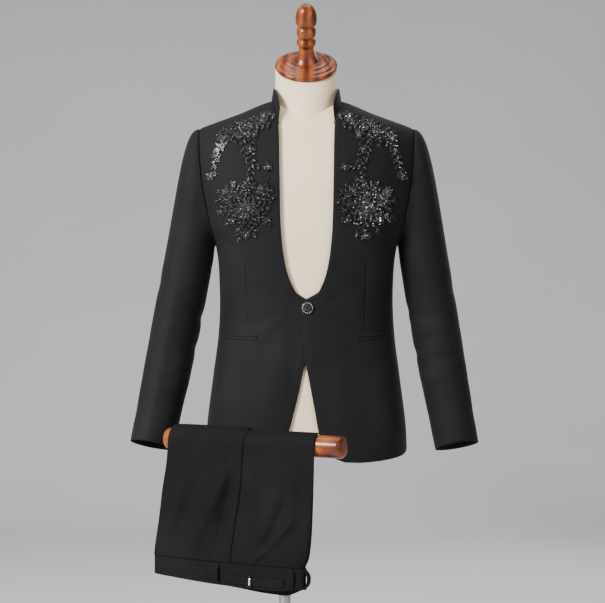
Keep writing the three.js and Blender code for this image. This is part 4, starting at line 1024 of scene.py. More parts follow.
def sleeve_grid(side, lean):
    """Head and tube of a sleeve. Each line of the head is one cubic curve that leaves the
    armhole outwards and meets the tube along it."""
    start, turn = armhole_ring(side)
    tube = sleeve_tube(side, lean, np.linspace(0, SLEEVE_LENGTH, 96), turn)
    end = tube[0]
    high = ((1 - np.cos(turn)) / 2)[:, None]
    leave = [side * mix(*HEAD_OUT, high), HEAD_AHEAD * np.sin(turn)[:, None], mix(*HEAD_UP, high)]
    down = np.array([side * np.sin(lean), 0, -np.cos(lean)])
    gap = np.linalg.norm(end - start, axis=1)[:, None]
    b = start + mix(HEAD_LOW_LEAVE, HEAD_HIGH_LEAVE, high) * unit(np.concatenate(leave, axis=1))
    c = end - HEAD_MEET * gap * down
    t = np.linspace(0, 1, 44)[:-1, None, None]
    s = 1 - t
    head = s**3 * start + 3 * s * s * t * b + 3 * s * t * t * c + t**3 * end
    return np.concatenate([head, tube])


def make_sleeve(name, side):
    """One sleeve, from the armhole's edge to the cuff."""
    grid = sleeve_grid(side, SLEEVE_LEAN[name])
    centres = ring_centres(grid)
    piece = grid_object(f"sleeve_{name}_cloth", grid, centres, JACKET_CLOTH, loop=True, thickness=CLOTH)
    settle(piece, [f"sleeve_{name}"])


make_sleeve("left", 1)
make_sleeve("right", -1)


# Collar: its height at three places, how far forwards the neckline lies, and its middle
COLLAR_RISE = {"front": 33, "neck_point": 25, "back": 38}
NECK_FRONT_DEPTH = 92
COLLAR_MIDDLE_Y = -4
COLLAR_CLOTH = 1.8
COLLAR_SIDE_LEAN, COLLAR_FRONT_LEAN = 0.94, 0.9
COLLAR_FOOT, COLLAR_LIFT, COLLAR_INSET, COLLAR_TUCK = (-0.12, -0.03), 0.15, 0.25, 2.0


def make_collar():
    """Stand collar: the neckline carried up and a little inwards, from one front edge round
    the back to the other. Its lowest rows tuck in behind the jacket's edge."""
    front = front_grid(1, OVER_EDGE, 0)[-16:, 0]
    back = back_grid(1)[-1]
    back = back[np.abs(back[:, 0] - FORM_X) <= NECK_POINT_X][::-1]
    half = np.concatenate([front, back]) - (FORM_X, 0, 0)
    half[-1, 0] = 0
    length = lengths(half)
    at = np.linspace(0, length[-1], 60)
    half = np.stack([np.interp(at, length, half[:, k]) for k in range(3)], axis=1)
    x, y, z = np.concatenate([half, half[-2::-1] * (-1, 1, 1)]).T[:, None, :]
    t = np.concatenate([COLLAR_FOOT, np.linspace(0, 1, 14)])[:, None]
    from_middle = y - COLLAR_MIDDLE_Y
    tuck = (COLLAR_INSET + COLLAR_TUCK * smooth_step(-t * 40)) / np.hypot(x, from_middle)
    share = np.minimum(1, np.abs(y) / np.where(y < 0, NECK_FRONT_DEPTH, NECK_BACK_DEPTH))
    rise = mix(COLLAR_RISE["neck_point"], np.where(y < 0, COLLAR_RISE["front"], COLLAR_RISE["back"]), share)
    points = np.stack([
        FORM_X + x * mix(1, COLLAR_SIDE_LEAN, t) - tuck * x,
        y * mix(1, COLLAR_FRONT_LEAN, t) - tuck * from_middle,
        z + COLLAR_LIFT + t * rise,
    ], axis=-1)
    inside = points * (0, 0, 1) + (FORM_X, COLLAR_MIDDLE_Y, 0)
    piece = grid_object("collar_cloth", points, inside, JACKET_CLOTH, thickness=COLLAR_CLOTH)
    settle(piece, ["jacket_collar"])


make_collar()


# What lies on the jacket fronts
def front_surface(side, x, z, off):
    """Points on the outside of a front panel at places across and up, moved out."""
    x, z = np.broadcast_arrays(np.asarray(x, float), np.asarray(z, float))
    free = angle_of(curve(OVER_EDGE if side > 0 else UNDER_EDGE, z), z)
    angle = angle_of(x, z)
    u = np.clip((angle - free) / (armhole_angle(z) - free), 0, 1)
    return body_point(side, "front", angle, z, front_folds(side, x, z, u, share_up(z)) - off)


WELT = {"inner": 98, "outer": 174, "inner_z": 948, "outer_z": 952, "height": 12}
LIP_MIDDLE, LIP_HALF, LIP_HEIGHT, LIP_AT_ENDS = 0.52, 0.48, 1.7, 0.25
WELT_LIFT, WELT_CLOTH, WELT_END = 0.15, 0.5, 1 / 30
WELT_WAVE, WELT_WAVE_HEIGHT = 41, 0.12


def make_welt(name, side):
    """Double piping of a pocket: two rounded lips with a dark slot between them."""
    share = np.linspace(0, 1, 60)[None, :]
    t = np.linspace(-1, 1, 25)[:, None]
    across = mix(WELT["inner"], WELT["outer"], share)
    z = mix(WELT["inner_z"], WELT["outer_z"], share) + t * WELT["height"] / 2
    lips = LIP_HEIGHT * np.sqrt(np.maximum(0, 1 - ((np.abs(t) - LIP_MIDDLE) / LIP_HALF) ** 2))
    lips = lips * mix(LIP_AT_ENDS, 1, window(share, 0, WELT_END, 1, WELT_END))
    off = WELT_LIFT + lips + WELT_WAVE_HEIGHT * np.sin(share * WELT_WAVE + side)
    points = front_surface(side, across, z, off)
    inside = axis_points(points)
    piece = grid_object(f"pocket_{name}_piping", points, inside, JACKET_CLOTH, thickness=WELT_CLOTH)
    settle(piece, [f"pocket_welt_{name}"])


# Beadwork: sprays of small leaves and blossoms, different on the two sides in their details.
# Stem: the places it passes, across and up; gap between its leaves and their length
STEMS = [
    ([(64, 1396), (84, 1388), (110, 1380), (140, 1372), (168, 1356)], 6.5, 17),
    ([(74, 1378), (100, 1366), (128, 1360), (156, 1346), (180, 1322)], 6.5, 16),
    ([(158, 1352), (172, 1326), (182, 1300), (190, 1272)], 6.5, 14),
    ([(96, 1384), (106, 1356), (110, 1326), (108, 1296), (112, 1262), (118, 1236)], 6.0, 14),
    ([(120, 1368), (126, 1346), (124, 1322), (120, 1304)], 6.5, 13),
    ([(110, 1298), (98, 1288), (84, 1284), (74, 1286)], 6.0, 12),
]
# Fans of stems: middle, number, first angle, step, shortest and longest, length of a leaf
FANS = [
    {"x": 118, "z": 1204, "count": 14, "first": 14, "step": 25.7, "short": 42, "long": 58, "leaf": 13},
    {"x": 92, "z": 1228, "count": 7, "first": 60, "step": 31, "short": 22, "long": 32, "leaf": 11},
    {"x": 146, "z": 1222, "count": 7, "first": -40, "step": 33, "short": 22, "long": 32, "leaf": 11},
    {"x": 140, "z": 1364, "count": 6, "first": 150, "step": 42, "short": 22, "long": 34, "leaf": 12},
]
FAN_GAP = 6.2
# Blossom: middle, size, petals, turn in degrees
BLOSSOMS = [
    (118, 1205, 17, 6, 12), (76, 1286, 10, 5, 30), (191, 1270, 11, 5, 0), (128, 1376, 12, 5, 50),
    (86, 1390, 9, 5, 10), (160, 1238, 9, 5, 24), (80, 1180, 9, 5, 40), (172, 1348, 11, 5, 5),
    (112, 1322, 9, 5, 20), (104, 1352, 9, 5, 0), (146, 1180, 9, 5, 14), (92, 1236, 9, 5, 33),
    (120, 1150, 9, 5, 18),
]
JITTER_SEEDS = {1: 31, -1: 47}
LEAF_SHAPE, LEAF_FULLNESS, LEAF_WIDTH, PETAL_WIDTH = 0.85, 0.8, 0.44, 0.7
TIP_LEAF, TIP_LEAF_WIDTH = 0.8, 0.34
LEAF_LIFT, LEAF_EDGE, LEAF_DOME, LEAF_STEP = 0.9, 0.5, 1.3, 0.5
STEM_GAP, RIM_GAP, RIB_GAP = 2.9, 3.0, 3.4


def fan_stems(fan, jitter):
    """Stems that leave the middle of a spray all round and bend a little."""
    made = []
    for k in range(fan["count"]):
        turn = np.radians(fan["first"] + fan["step"] * k + jitter.normal(0, 4))
        reach = jitter.uniform(fan["short"], fan["long"]) * (1.08 - 0.12 * abs(np.cos(turn)))
        bend = jitter.normal(0, 0.16)
        steps = np.linspace(0.16, 1, 5)
        across = fan["x"] + reach * steps * np.cos(turn + bend * steps)
        up = fan["z"] + reach * steps * np.sin(turn + bend * steps)
        made.append((list(zip(across, up)), FAN_GAP, fan["leaf"]))
    return made


def along(points, gap):
    """Places at even gaps along a line, smoothed through its corners where these are few."""
    points = np.asarray(points, float)
    length = lengths(points)
    at = np.arange(0, length[-1], gap)
    if len(points) > 8:
        return np.stack([np.interp(at, length, points[:, k]) for k in range(2)], axis=1)
    return np.stack([curve(np.column_stack([length, points]), at, k + 1) for k in range(2)], axis=1)


def leaves_along(stem, gap, length, jitter):
    """Leaves on alternate sides of a stem, smaller towards its tip, and one at the tip."""
    places = along(stem, gap)
    ways = np.gradient(places, axis=0)
    made = []
    for k, ((x, z), (dx, dz)) in enumerate(zip(places, ways)):
        size = length * jitter.uniform(0.8, 1.1) * (1 - 0.3 * k / len(places))
        side_turn = np.radians(jitter.uniform(38, 62)) * (1 if k % 2 else -1)
        made.append((x, z, np.arctan2(dz, dx) + side_turn, size, size * LEAF_WIDTH, jitter.normal(0, 1.5)))
    (x, z), (dx, dz) = places[-1], ways[-1]
    made.append((x, z, np.arctan2(dz, dx), length * TIP_LEAF, length * TIP_LEAF_WIDTH, 0.0))
    return made


def half_leaf(t, width):
    """Half-width along a leaf: a sine of the way along it, to a power that fills its middle."""
    return width / 2 * np.sin(np.pi * t**LEAF_SHAPE) ** LEAF_FULLNESS


def leaf_lines(length, width, turn, bend, steps=26):
    """Outline of a leaf from its foot, and its midrib, which bends by a square."""
    t = np.linspace(0, 1, steps)
    half, rib = half_leaf(t, width), bend * t**2
    outline = np.column_stack([
        np.concatenate([t, t[::-1]]) * length, np.concatenate([rib + half, (rib - half)[::-1]]),
    ])
    c, s = np.cos(turn), np.sin(turn)
    turned_by = np.array([(c, s), (-s, c)])
    return outline @ turned_by, np.column_stack([t * length, rib]) @ turned_by


def leaf_plate(length, width, turn, bend, rows=9, columns=5):
    """The same leaf as a small domed grid: place across, place up and height off the cloth."""
    t = np.linspace(0.02, 0.99, rows)[:, None]
    w = np.linspace(-1, 1, columns)[None, :]
    x = t * length + 0 * w
    y = bend * t**2 + half_leaf(t, width) * w
    c, s = np.cos(turn), np.sin(turn)
    height = LEAF_EDGE + LEAF_DOME * (1 - w**2) * np.sin(np.pi * t) ** 0.5
    return x * c - y * s, x * s + y * c, height


# Cut stone: six corners round its girdle, three round its table, and the point below
GEM = np.array([
    (1, 0, 0), (0.5, 0.87, 0), (-0.5, 0.87, 0), (-1, 0, 0), (-0.5, -0.87, 0), (0.5, -0.87, 0),
    (0.45, 0.26, 0.75), (-0.45, 0.26, 0.75), (0, -0.52, 0.75), (0, 0, -0.3),
], float)
GEM_FACES = [
    (0, 1, 6), (1, 2, 7, 6), (2, 3, 7), (3, 4, 8, 7), (4, 5, 8), (5, 0, 6, 8), (6, 7, 8),
    (1, 0, 9), (2, 1, 9), (3, 2, 9), (4, 3, 9), (5, 4, 9), (0, 5, 9),
]
GEM_TIP = 0.18


def gems(side, places, radius, height):
    """Cut stones standing on the cloth at places across and up, each turned at random."""
    x, z = places.T
    radius = np.broadcast_to(radius, x.shape)
    base = front_surface(side, x, z, height)
    right = unit(front_surface(side, x + 1.0, z, height) - base)
    up = front_surface(side, x, z + 1.0, height) - base
    up = unit(up - np.sum(up * right, axis=1, keepdims=True) * right)
    out = np.cross(right, up)
    out *= np.where(out[:, 1] > 0, -1, 1)[:, None]
    spin = rng.uniform(0, FULL_TURN, len(x))
    c, s = np.cos(spin)[:, None], np.sin(spin)[:, None]
    gx = GEM[:, 0] * c - GEM[:, 1] * s
    gy = GEM[:, 0] * s + GEM[:, 1] * c
    gz = GEM[:, 2] + 0 * gx
    tip = rng.normal(0, GEM_TIP, (2, len(x), 1))
    gx, gy = gx + tip[0] * gz, gy + tip[1] * gz
    local = gx[..., None] * right[:, None] + gy[..., None] * up[:, None] + gz[..., None] * out[:, None]
    points = base[:, None] + radius[:, None, None] * local
    faces = [[n * len(GEM) + k for k in face] for n in range(len(x)) for face in GEM_FACES]
    return points.reshape(-1, 3), faces


def soup_object(name, parts, materials):
    """One mesh from parts of points, faces and a material number."""
    points, faces, kinds, first = [], [], [], 0
    for part_points, part_faces, kind in parts:
        points.append(part_points)
        faces.extend([[first + k for k in face] for face in part_faces])
        kinds.extend([kind] * len(part_faces))
        first += len(part_points)
    mesh = bpy.data.meshes.new(name)
    mesh.from_pydata((np.concatenate(points) * MM).tolist(), [], faces)
    piece = new_piece(name, mesh, materials)
    mesh.polygons.foreach_set("material_index", kinds)
    return piece


def make_applique(name, side):
    """Sprays of domed petals with a rim of jet stones; some have a rib of clear stones."""
    jitter = np.random.default_rng(JITTER_SEEDS[side])
    stems = STEMS + [stem for fan in FANS for stem in fan_stems(fan, jitter)]
    leaves = [leaf for stem, gap, length in stems for leaf in leaves_along(stem, gap, length, jitter)]
    for x, z, size, count, degrees in BLOSSOMS:
        turn = np.radians(degrees + jitter.uniform(0, 40))
        leaves += [(x, z, turn + k * FULL_TURN / count, size, size * PETAL_WIDTH, 0.0) for k in range(count)]
    petals, rims, ribs = [], [along(stem, STEM_GAP) for stem, _, _ in stems], []
    for k, (x, z, turn, length, width, bend) in enumerate(leaves):
        across, up, height = leaf_plate(length, width, turn, bend)
        surface = front_surface(side, x + across, z + up, LEAF_LIFT + height + LEAF_STEP * (k % 3))
        faces = squares(len(across), across.shape[1] - 1, across.shape[1])
        petals.append((surface.reshape(-1, 3), (faces if side < 0 else faces[:, ::-1]).tolist(), 0))
        rim, rib = leaf_lines(length, width, turn, bend)
        rims.append(along(rim, RIM_GAP) + (x, z))
        if k % 4 == 0:
            ribs.append(along(rib[5:-2], RIB_GAP) + (x, z))
    rim, rib = np.concatenate(rims), np.concatenate(ribs)
    centre = np.array([blossom[:2] for blossom in BLOSSOMS], float)
    parts = petals + [
        (*gems(side, rim, jitter.uniform(0.95, 1.35, len(rim)), jitter.uniform(1.8, 3.0, len(rim))), 1),
        (*gems(side, rib, jitter.uniform(0.8, 1.25, len(rib)), jitter.uniform(2.6, 3.4, len(rib))), 2),
        (*gems(side, centre, jitter.uniform(1.7, 2.3, len(centre)), 3.2), 2),
    ]
    piece = soup_object(f"applique_{name}_beads", parts, [PETALS, JET, CRYSTAL])
    settle(piece, [f"applique_{name}"])


make_welt("left", 1)
make_welt("right", -1)
make_applique("left", 1)
make_applique("right", -1)

# Button: its place, the profiles of rim and dome, and the ring of stones
BUTTON_X, BUTTON_Z, BUTTON_GAP = 1.8, 1007, 0.65
BUTTON_RIM = [(0.01, 0), (10.5, 0), (11.8, 0.9), (12, 1.8), (11.6, 2.7), (10.6, 3.2), (7.9, 3.2)]
BUTTON_DOME = [(7.9, 3.0), (7.4, 4.2), (5.2, 6.1), (3.0, 6.8), (0.01, 6.8)]
STONE_COUNT, STONE_RING, STONE_RADIUS = 16, 9.9, 1.7
STONE_FOOT, STONE_HEIGHT, STONE_SIDES, STONE_ROWS = 3.2, 1.5, 7, 4


def make_button():
    """Round jet button with a faceted dome, and a ring of clear stones round it."""
    y = -(body_depth(True, BUTTON_X, BUTTON_Z) + BUTTON_GAP)

    def place(across, front, out):
        return np.stack([FORM_X + BUTTON_X + across, y - out, BUTTON_Z + front], axis=-1)

    t = np.linspace(0, QUARTER_TURN, STONE_ROWS)[:, None]
    p = turns(STONE_SIDES)
    faces = squares(STONE_ROWS, STONE_SIDES, STONE_SIDES).tolist()
    stones = []
    for a in turns(STONE_COUNT):
        across = STONE_RING * np.cos(a) + STONE_RADIUS * np.cos(t) * np.cos(p)
        up = STONE_RING * np.sin(a) + STONE_RADIUS * np.cos(t) * np.sin(p)
        stone = place(across, up, STONE_FOOT + STONE_HEIGHT * np.sin(t) + 0 * p)
        stones.append((stone.reshape(-1, 3), faces, 0))
    rim = turned("front_button_rim", BUTTON_RIM, JET, place, 48)
    dome = turned("front_button_dome", BUTTON_DOME, JET, place, 8)
    dome.data.shade_flat()
    settle(rim, ["front_button"])
    settle(dome)
    settle(soup_object("front_button_stones", stones, [CRYSTAL]))


make_button()


# Trousers
# place along the rod and share down at the start and end, half-width, depth (ridges negative)
SEAT_FOLDS = [
    (-24, 0.08, -56, 1.04, 12, 7.0), (-9, 0.10, -112, 1.00, 15, -8.0), (-84, 0.20, -150, 0.92, 16, 3.4),
    (-128, 0.35, -166, 0.98, 12, -3.4), (14, 0.20, 16, 0.86, 13, -4.6), (100, 0.40, 30, 1.02, 13, 7.0),
    (120, 0.60, 10, 1.05, 10, -6.5), (102, 0.22, 97, 0.86, 10, -4.6), (58, 0.16, 66, 0.56, 12, 2.4),
    (-60, 0.04, -52, 0.34, 16, -1.2), (70, 0.03, 78, 0.30, 16, 1.2),
]
SEAT_FOLD_SWAY, SEAT_FOLD_WAVE, SEAT_FOLD_END = 2.2, 4.2, 1 / 3
SEAT_CLOTH = 1.3
SEAT_START, SEAT_OPEN_FROM, SEAT_OPEN_OVER = 0.3, 0.19, 0.86
LIFT_FADE_FROM, LIFT_FADE_OVER, LIFT_WIDTH = 0.1, 0.5, 13
SEAT_SEAM_GAP = 0.15
SEAT_MIDDLE_S, SEAT_MIDDLE_N = -31, 20
SEAT_SEAM_DEPTH, SEAT_SEAM_WIDTH = 1.1, 1.3
SEAT_STITCH_HEIGHT, SEAT_STITCH_AT, SEAT_STITCH_WIDTH = 0.5, 5.0, 3.0
SEAT_EDGE_DEPTH, SEAT_EDGE_WIDTH = 0.6, 1.8


def hang_point(s, length, off, radius):
    """Over the rod along its arc, then straight down in front of it."""
    arc = (QUARTER_TURN - ARC_START) * radius
    turn = ARC_START + np.minimum(length, arc) / radius
    n = np.where(length < arc, (radius + off) * np.sin(turn), radius + off)
    z = np.where(length < arc, ROD_Z + (radius + off) * np.cos(turn), ROD_Z - (length - arc))
    return rod_point(s, n, z)


def lift_left(v):
    """Share of the step over the other leg that is left on the way down."""
    return 1 - smooth_step((v - LIFT_FADE_FROM) / LIFT_FADE_OVER)


def seat_opening(u, v, lift):
    """Half the distance between the seat's front and back."""
    lower = WAIST_DEPTH * smooth_step((v - SEAT_OPEN_FROM) / SEAT_OPEN_OVER) ** 1.1
    return LAYER_GAP + lift / 2 * lift_left(v) + lower * flat_round(2 * u - 1, WAIST_ROUND)


def seat_fold(s, v):
    """Sum of soft slanting troughs, each wavering along its length and fading at both ends."""
    total = 0
    for i, (s0, v0, s1, v1, wide, deep) in enumerate(SEAT_FOLDS):
        t = (v - v0) / (v1 - v0)
        middle = mix(s0, s1, t) + SEAT_FOLD_SWAY * np.sin(SEAT_FOLD_WAVE * t + i)
        total = total + deep * window(t, 0, SEAT_FOLD_END, 1, SEAT_FOLD_END) * bell(s - middle, wide)
    return total


def seat_grid(wearer, face, columns=64):
    """Quarter of the seat: rows from the top of the rod down to the waistband."""
    lift = LEFT_LIFT if wearer == "left" else 0
    radius = OVER_ROD + TROUSER_CLOTH + LAYER_GAP + lift / 2
    length = (QUARTER_TURN - ARC_START) * radius + SEAT_DROP
    v = np.concatenate([np.linspace(0, 0.15, 22)[:-1], np.linspace(0.15, 1, 72)])[:, None]
    left, right, seam = (curve(SEAT_WIDTH, v, k) for k in (1, 2, 3))
    start, end = (left, seam - SEAT_SEAM_GAP) if wearer == "left" else (seam + SEAT_SEAM_GAP, right)
    s = mix(start, end, eased(columns, 0.4)[None, :])
    down = mix(SEAT_START, length, v) + 0 * s
    opening = seat_opening((s - left) / (right - left), v, lift)
    if face == "back":
        return hang_point(s, down, -opening, radius)
    fold = np.minimum(seat_fold(s, v), opening - LAYER_GAP)
    seams = SEAT_SEAM_DEPTH * bell(s - seam, SEAT_SEAM_WIDTH)
    seams = seams - SEAT_STITCH_HEIGHT * bell(np.abs(s - seam) - SEAT_STITCH_AT, SEAT_STITCH_WIDTH)
    seams = seams + SEAT_EDGE_DEPTH * bell(np.minimum(s - left, right - s), SEAT_EDGE_WIDTH)
    step = lift * mix(0.5, 1, lift_left(v)) * bell(s - seam, LIFT_WIDTH)
    return hang_point(s, down, opening + TROUSER_CLOTH - fold - seams - step, radius)


def seat_inside(points):
    """The middle line of the hanging seat at each height, as the inside of its panels."""
    return rod_point(SEAT_MIDDLE_S, SEAT_MIDDLE_N, np.minimum(points[..., 2], ROD_Z - 4) - 12)


def make_seat(wearer, face):
    """One quarter of the seat: the wearer's left or right, front or back."""
    points = seat_grid(wearer, face)
    name = f"trouser_{face}_{wearer}"
    piece = grid_object(name + "_cloth", points, seat_inside(points), TROUSER_TWILL, thickness=SEAT_CLOTH)
    settle(piece, [name])


for wearer in ("left", "right"):
    for face in ("front", "back"):
        make_seat(wearer, face)

# Waistband: its middle and half-width along the rod, its level, and its cloth's outside
WAIST_S = (SEAT_WIDTH[-1, 1] + SEAT_WIDTH[-1, 2]) / 2
WAIST_HALF = (SEAT_WIDTH[-1, 2] - SEAT_WIDTH[-1, 1]) / 2
WAIST_SIDE_INSET = 1
WAIST_N = OVER_ROD + TROUSER_CLOTH + LAYER_GAP
WAIST_TOP = ROD_Z - SEAT_DROP - 0.4
WAIST_RISE, WAIST_FRONT_DROP, WAIST_BACK_DROP = 3, 7, 22
BAND_OUT = 2.3
BAND_CLOTH = 1.6
LOOP_CLOTH, LOOP_LAYER, LOOP_GAP = 1.0, 1.3, 0.45
LOOP_ROLL, LOOP_ROLL_FROM = 0.35, 0.38
# share down the band, share of the loop's full stand-off, from one that lies on the band
LOOP_PROFILE = np.array([
    (0.02, 0.5), (0.08, 0.5), (0.17, 0.72), (0.33, 0.95), (0.5, 1), (0.67, 0.95), (0.83, 0.72),
    (0.92, 0.5), (0.98, 0.5),
])


def waist_point(turn, t, off):
    """Band of the waist: a flattened round at the seat's lower edge, dropping towards one side."""
    ahead, aside = np.sin(turn), np.cos(turn)
    low = mix(WAIST_FRONT_DROP, WAIST_BACK_DROP, smooth_step(0.5 - ahead))
    towards = smooth_step((aside + 0.9) / 1.3) * (1 - 0.8 * smooth_step((aside - 0.6) / 0.4))
    power = 2 / WAIST_ROUND
    s = WAIST_S + (WAIST_HALF - WAIST_SIDE_INSET + off) * signed_power(aside, power)
    n = WAIST_N + (WAIST_DEPTH + off) * signed_power(ahead, power)
    height = WAISTBAND_HEIGHT - WAIST_RISE + low * towards
    return rod_point(s, n, WAIST_TOP - t * height)


def turn_at_s(s):
    """The angle on the band's front at a place along the rod."""
    share = (s - WAIST_S) / (WAIST_HALF - WAIST_SIDE_INSET + BAND_OUT)
    return np.arccos(signed_power(share, WAIST_ROUND / 2))


def band_object(name, points, material, thickness, loop=False):
    """A piece that lies round the waist, turned away from the waist's middle line."""
    inside = rod_point(WAIST_S, WAIST_N, points[..., 2])
    return grid_object(name, points, inside, material, loop=loop, thickness=thickness)


def make_waistband():
    """The band all round, a little slack, rolled in at its two edges and along its stitches."""
    turn = turns(200, 0.5)[None, :]
    t = np.linspace(0, 1, 30)[:, None]
    off = BAND_OUT - 0.2 * bell(t, 0.03) - 0.5 * bell(t - 1, 0.05) - 0.2 * bell(t - 0.08, 0.02)
    off = off - 0.5 * bell(t - 0.5, 0.5) * (0.5 + 0.5 * np.sin(5 * turn))
    band = band_object("waistband_cloth", waist_point(turn, t, off), TROUSER_TWILL, BAND_CLOTH, loop=True)
    settle(band, ["trouser_waistband"])


def make_loop(name, turn, width, stand_off):
    """A strip that stands off the band in its middle and lies on it at both ends."""
    t = np.linspace(0.02, 0.98, 40)[:, None]
    share = np.linspace(-0.5, 0.5, 11)[None, :]
    stand = stand_off * (2 * curve(LOOP_PROFILE, t) - 1) - LOOP_ROLL * (np.abs(share) > LOOP_ROLL_FROM)
    off = BAND_OUT + LOOP_GAP + LOOP_LAYER + stand
    round_band = turn + share * width / WAIST_HALF / max(0.25, np.sin(turn))
    points = waist_point(round_band, t, off)
    piece = band_object(f"belt_loop_{name}_cloth", points, TROUSER_TWILL, LOOP_CLOTH)
    settle(piece, [f"belt_loop_{name}"])


# Strap, slider and the slider's glint strip: start and end along the rod, low and high share of the band,
# height off it
STRAP = {"start": -30, "end": 88, "low": 0.5, "high": 0.87, "off": 1.2, "crown": 0.9, "cloth": 1.1}
# Painted highlight: a thin bright metal strip along the slider's middle stands in for the glint on it
GLINT_STRIP = {"start": 18.4, "end": 21.2, "low": 0.54, "high": 0.83, "off": 5.2, "crown": 0.3, "cloth": 0.4}
SLIDER = {"start": 14, "end": 25, "low": 0.44, "high": 0.93, "off": 2.6, "arch": 2.0, "wall": 1.0}


def make_strip(name, sizes, material):
    """A strip round the band's front between two places on the rod, crowned across."""
    turn = turn_at_s(np.linspace(sizes["start"], sizes["end"], 50))[None, :]
    t = np.linspace(0, 1, 12)[:, None]
    off = BAND_OUT + sizes["off"] + sizes["crown"] * (1 - (2 * t - 1) ** 4)
    points = waist_point(turn, mix(sizes["low"], sizes["high"], t), off)
    return band_object(name, points, material, sizes["cloth"])


def make_strap():
    """The strap, the arched dark metal slider on it and a thin bright metal strip along the slider's middle,
    a painted highlight that stands in for its glint.
    """
    strap = make_strip("waist_strap_cloth", STRAP, TROUSER_TWILL)
    settle(strap, ["waist_strap"])
    share = np.linspace(0, 1, 40)[None, :]
    t = np.linspace(0, 1, 16)[:, None]
    arched = SLIDER["arch"] * (1 - (2 * share - 1) ** 2) * (1 - 0.3 * (2 * t - 1) ** 6)
    turn = turn_at_s(mix(SLIDER["start"], SLIDER["end"], share))
    points = waist_point(turn, mix(SLIDER["low"], SLIDER["high"], t), BAND_OUT + SLIDER["off"] + arched)
    settle(band_object("waist_slider_metal", points, DARK_METAL, SLIDER["wall"]), ["waist_slider"])
    # Painted highlight: the bright metal strip on the slider's middle stands in for its glint
    settle(make_strip("waist_slider_glint_strip", GLINT_STRIP, GLINT_METAL))


def leg_path(thick):
    """Over the rod, then down, up and down again behind it. Columns: place towards the viewer,
    height, and the way that the pack's first face looks."""
    middle = OVER_ROD + thick / 2
    bend = (thick + LEG_FOLD_GAP) / 2
    turn = np.linspace(ARC_START, -QUARTER_TURN, 24)
    ahead, up = np.sin(turn), np.cos(turn)
    path = [np.column_stack([middle * ahead, ROD_Z + middle * up, ahead, up])]
    n, z, heading = -middle, ROD_Z, -1
    t = np.linspace(0, 1, 34)[1:]
    a = np.linspace(0, np.pi, 14)[1:]
    for drop in LEG_DROPS:
        end = z + heading * drop
        path.append(np.column_stack([n + 0 * t, mix(z, end, t), heading + 0 * t, 0 * t]))
        bent = [n - bend * (1 - np.cos(a)), end + heading * bend * np.sin(a), heading * np.cos(a), np.sin(a)]
        path.append(np.column_stack(bent))
        n, z, heading = n - 2 * bend, end, -heading
    return np.concatenate(path[:-1])


# Powers of the pack's flat round, and the rows over which the pack narrows
LEG_SIDE_POWER, LEG_FACE_POWER = 0.2, 0.35
NARROWING_ROWS, NARROWING_START = 23, 0.0625


def make_leg(wearer):
    """A pressed pack of cloth: its section is a flat round, carried along the folded path. The
    pack narrows from the seat's width to its own over the first rows."""
    lift = LEFT_LIFT if wearer == "left" else 0
    thick = 2 * (TROUSER_CLOTH + LAYER_GAP) + lift
    path = leg_path(thick)
    over = smooth_step(np.arange(len(path)) / NARROWING_ROWS - NARROWING_START)[:, None]
    sign, outer_column = (-1, 1) if wearer == "left" else (1, 2)
    start = mix(curve(SEAT_WIDTH, 0, outer_column), LEG_OUTER[wearer], over)
    end = mix(curve(SEAT_WIDTH, 0, 3) + sign * SEAT_SEAM_GAP, LEG_GAP[wearer], over)
    turn = turns(72)[None, :]
    share = 0.5 + 0.5 * signed_power(np.cos(turn), LEG_SIDE_POWER)
    off = thick / 2 * signed_power(np.sin(turn), LEG_FACE_POWER)
    n, z, ahead, up = path.T[:, :, None]
    points = rod_point(mix(start, end, share), n + ahead * off, z + up * off)
    points = closed_end(closed_end(points, 0), -1)
    piece = grid_object(f"trouser_leg_{wearer}_pack", points, ring_centres(points), TROUSER_TWILL, loop=True)
    settle(piece, [f"trouser_leg_{wearer}"])


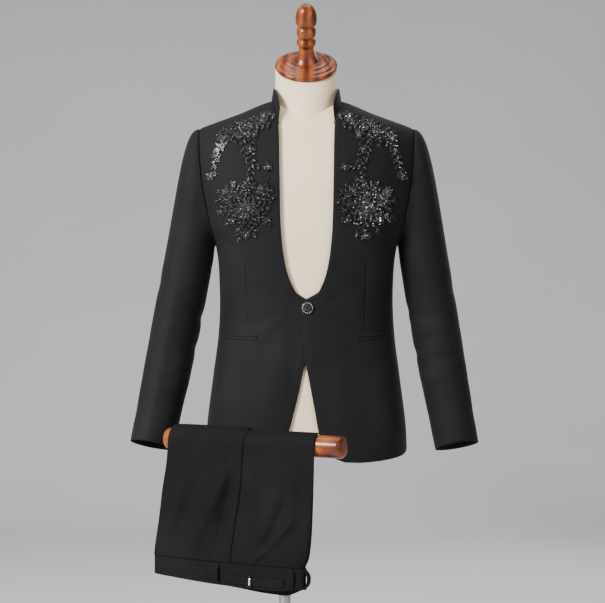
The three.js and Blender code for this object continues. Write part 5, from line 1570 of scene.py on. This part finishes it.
make_waistband()
make_loop("left", turn_at_s(-57), 14, 3.2)
make_loop("right", turn_at_s(100), 14, 3.2)
make_loop("side", 0.05, 10, 8)
make_strap()
make_leg("left")
make_leg("right")


# Room, in metres: half its width, where the floor starts, where it rises and how high
ROOM_HALF = 7
ROOM_START, ROOM_RISE, ROOM_END = -9, 3.2, 6.2
ROOM_HEIGHT = 5.5
LIGHT_TARGET = (0, 0, 1.0)
WORLD_COLOUR, WORLD_STRENGTH = (0.78, 0.79, 0.8, 1), 0.34


def make_room():
    """Pale floor that rises behind in one sweep."""
    x = np.linspace(-ROOM_HALF, ROOM_HALF, 3)[None, :]
    t = np.linspace(0, 1, 60)[:, None]
    y = np.interp(t, (0, 0.5, 1), (ROOM_START, ROOM_RISE, ROOM_END)) + 0 * x
    z = ROOM_HEIGHT * np.clip((t - 0.5) / 0.5, 0, 1) ** 2.2 + 0 * x
    material, tree, shader, place = new_material("pale floor")
    tones = [(0, (0.74, 0.74, 0.735)), (1, (0.78, 0.78, 0.775))]
    set_inputs(shader, {"Base Color": ramp(tree, cloudy(tree, place, 1.4), tones), "Roughness": 0.9})
    points = np.stack([x + 0 * t, y, z], axis=-1) / MM
    grid_object("floor_sweep", points, (0, 0, -9000), material)


def area_light(name, place, size, watts):
    """A square soft light that looks at the middle of the suit."""
    data = bpy.data.lights.new(name, "AREA")
    data.size = size
    data.energy = watts
    lamp = bpy.data.objects.new(name, data)
    lamp.location = place
    x, y, z = np.array(LIGHT_TARGET, float) - np.array(place, float)
    lamp.rotation_euler = (np.arctan2(np.hypot(x, y), -z), 0, np.arctan2(y, x) - QUARTER_TURN)
    bpy.context.collection.objects.link(lamp)


def make_lights():
    area_light("key", (-2.6, -2.3, 2.55), 1.2, 262)
    area_light("fill", (2.6, -2.8, 1.6), 2.4, 45)
    area_light("back", (1.2, 2.6, 2.2), 2.6, 26)
    area_light("top", (0, -0.2, 3.6), 2.0, 40)
    world = bpy.data.worlds.new("studio")
    world.use_nodes = True
    set_inputs(world.node_tree.nodes["Background"], {"Color": WORLD_COLOUR, "Strength": WORLD_STRENGTH})
    bpy.context.scene.world = world


make_room()
make_lights()
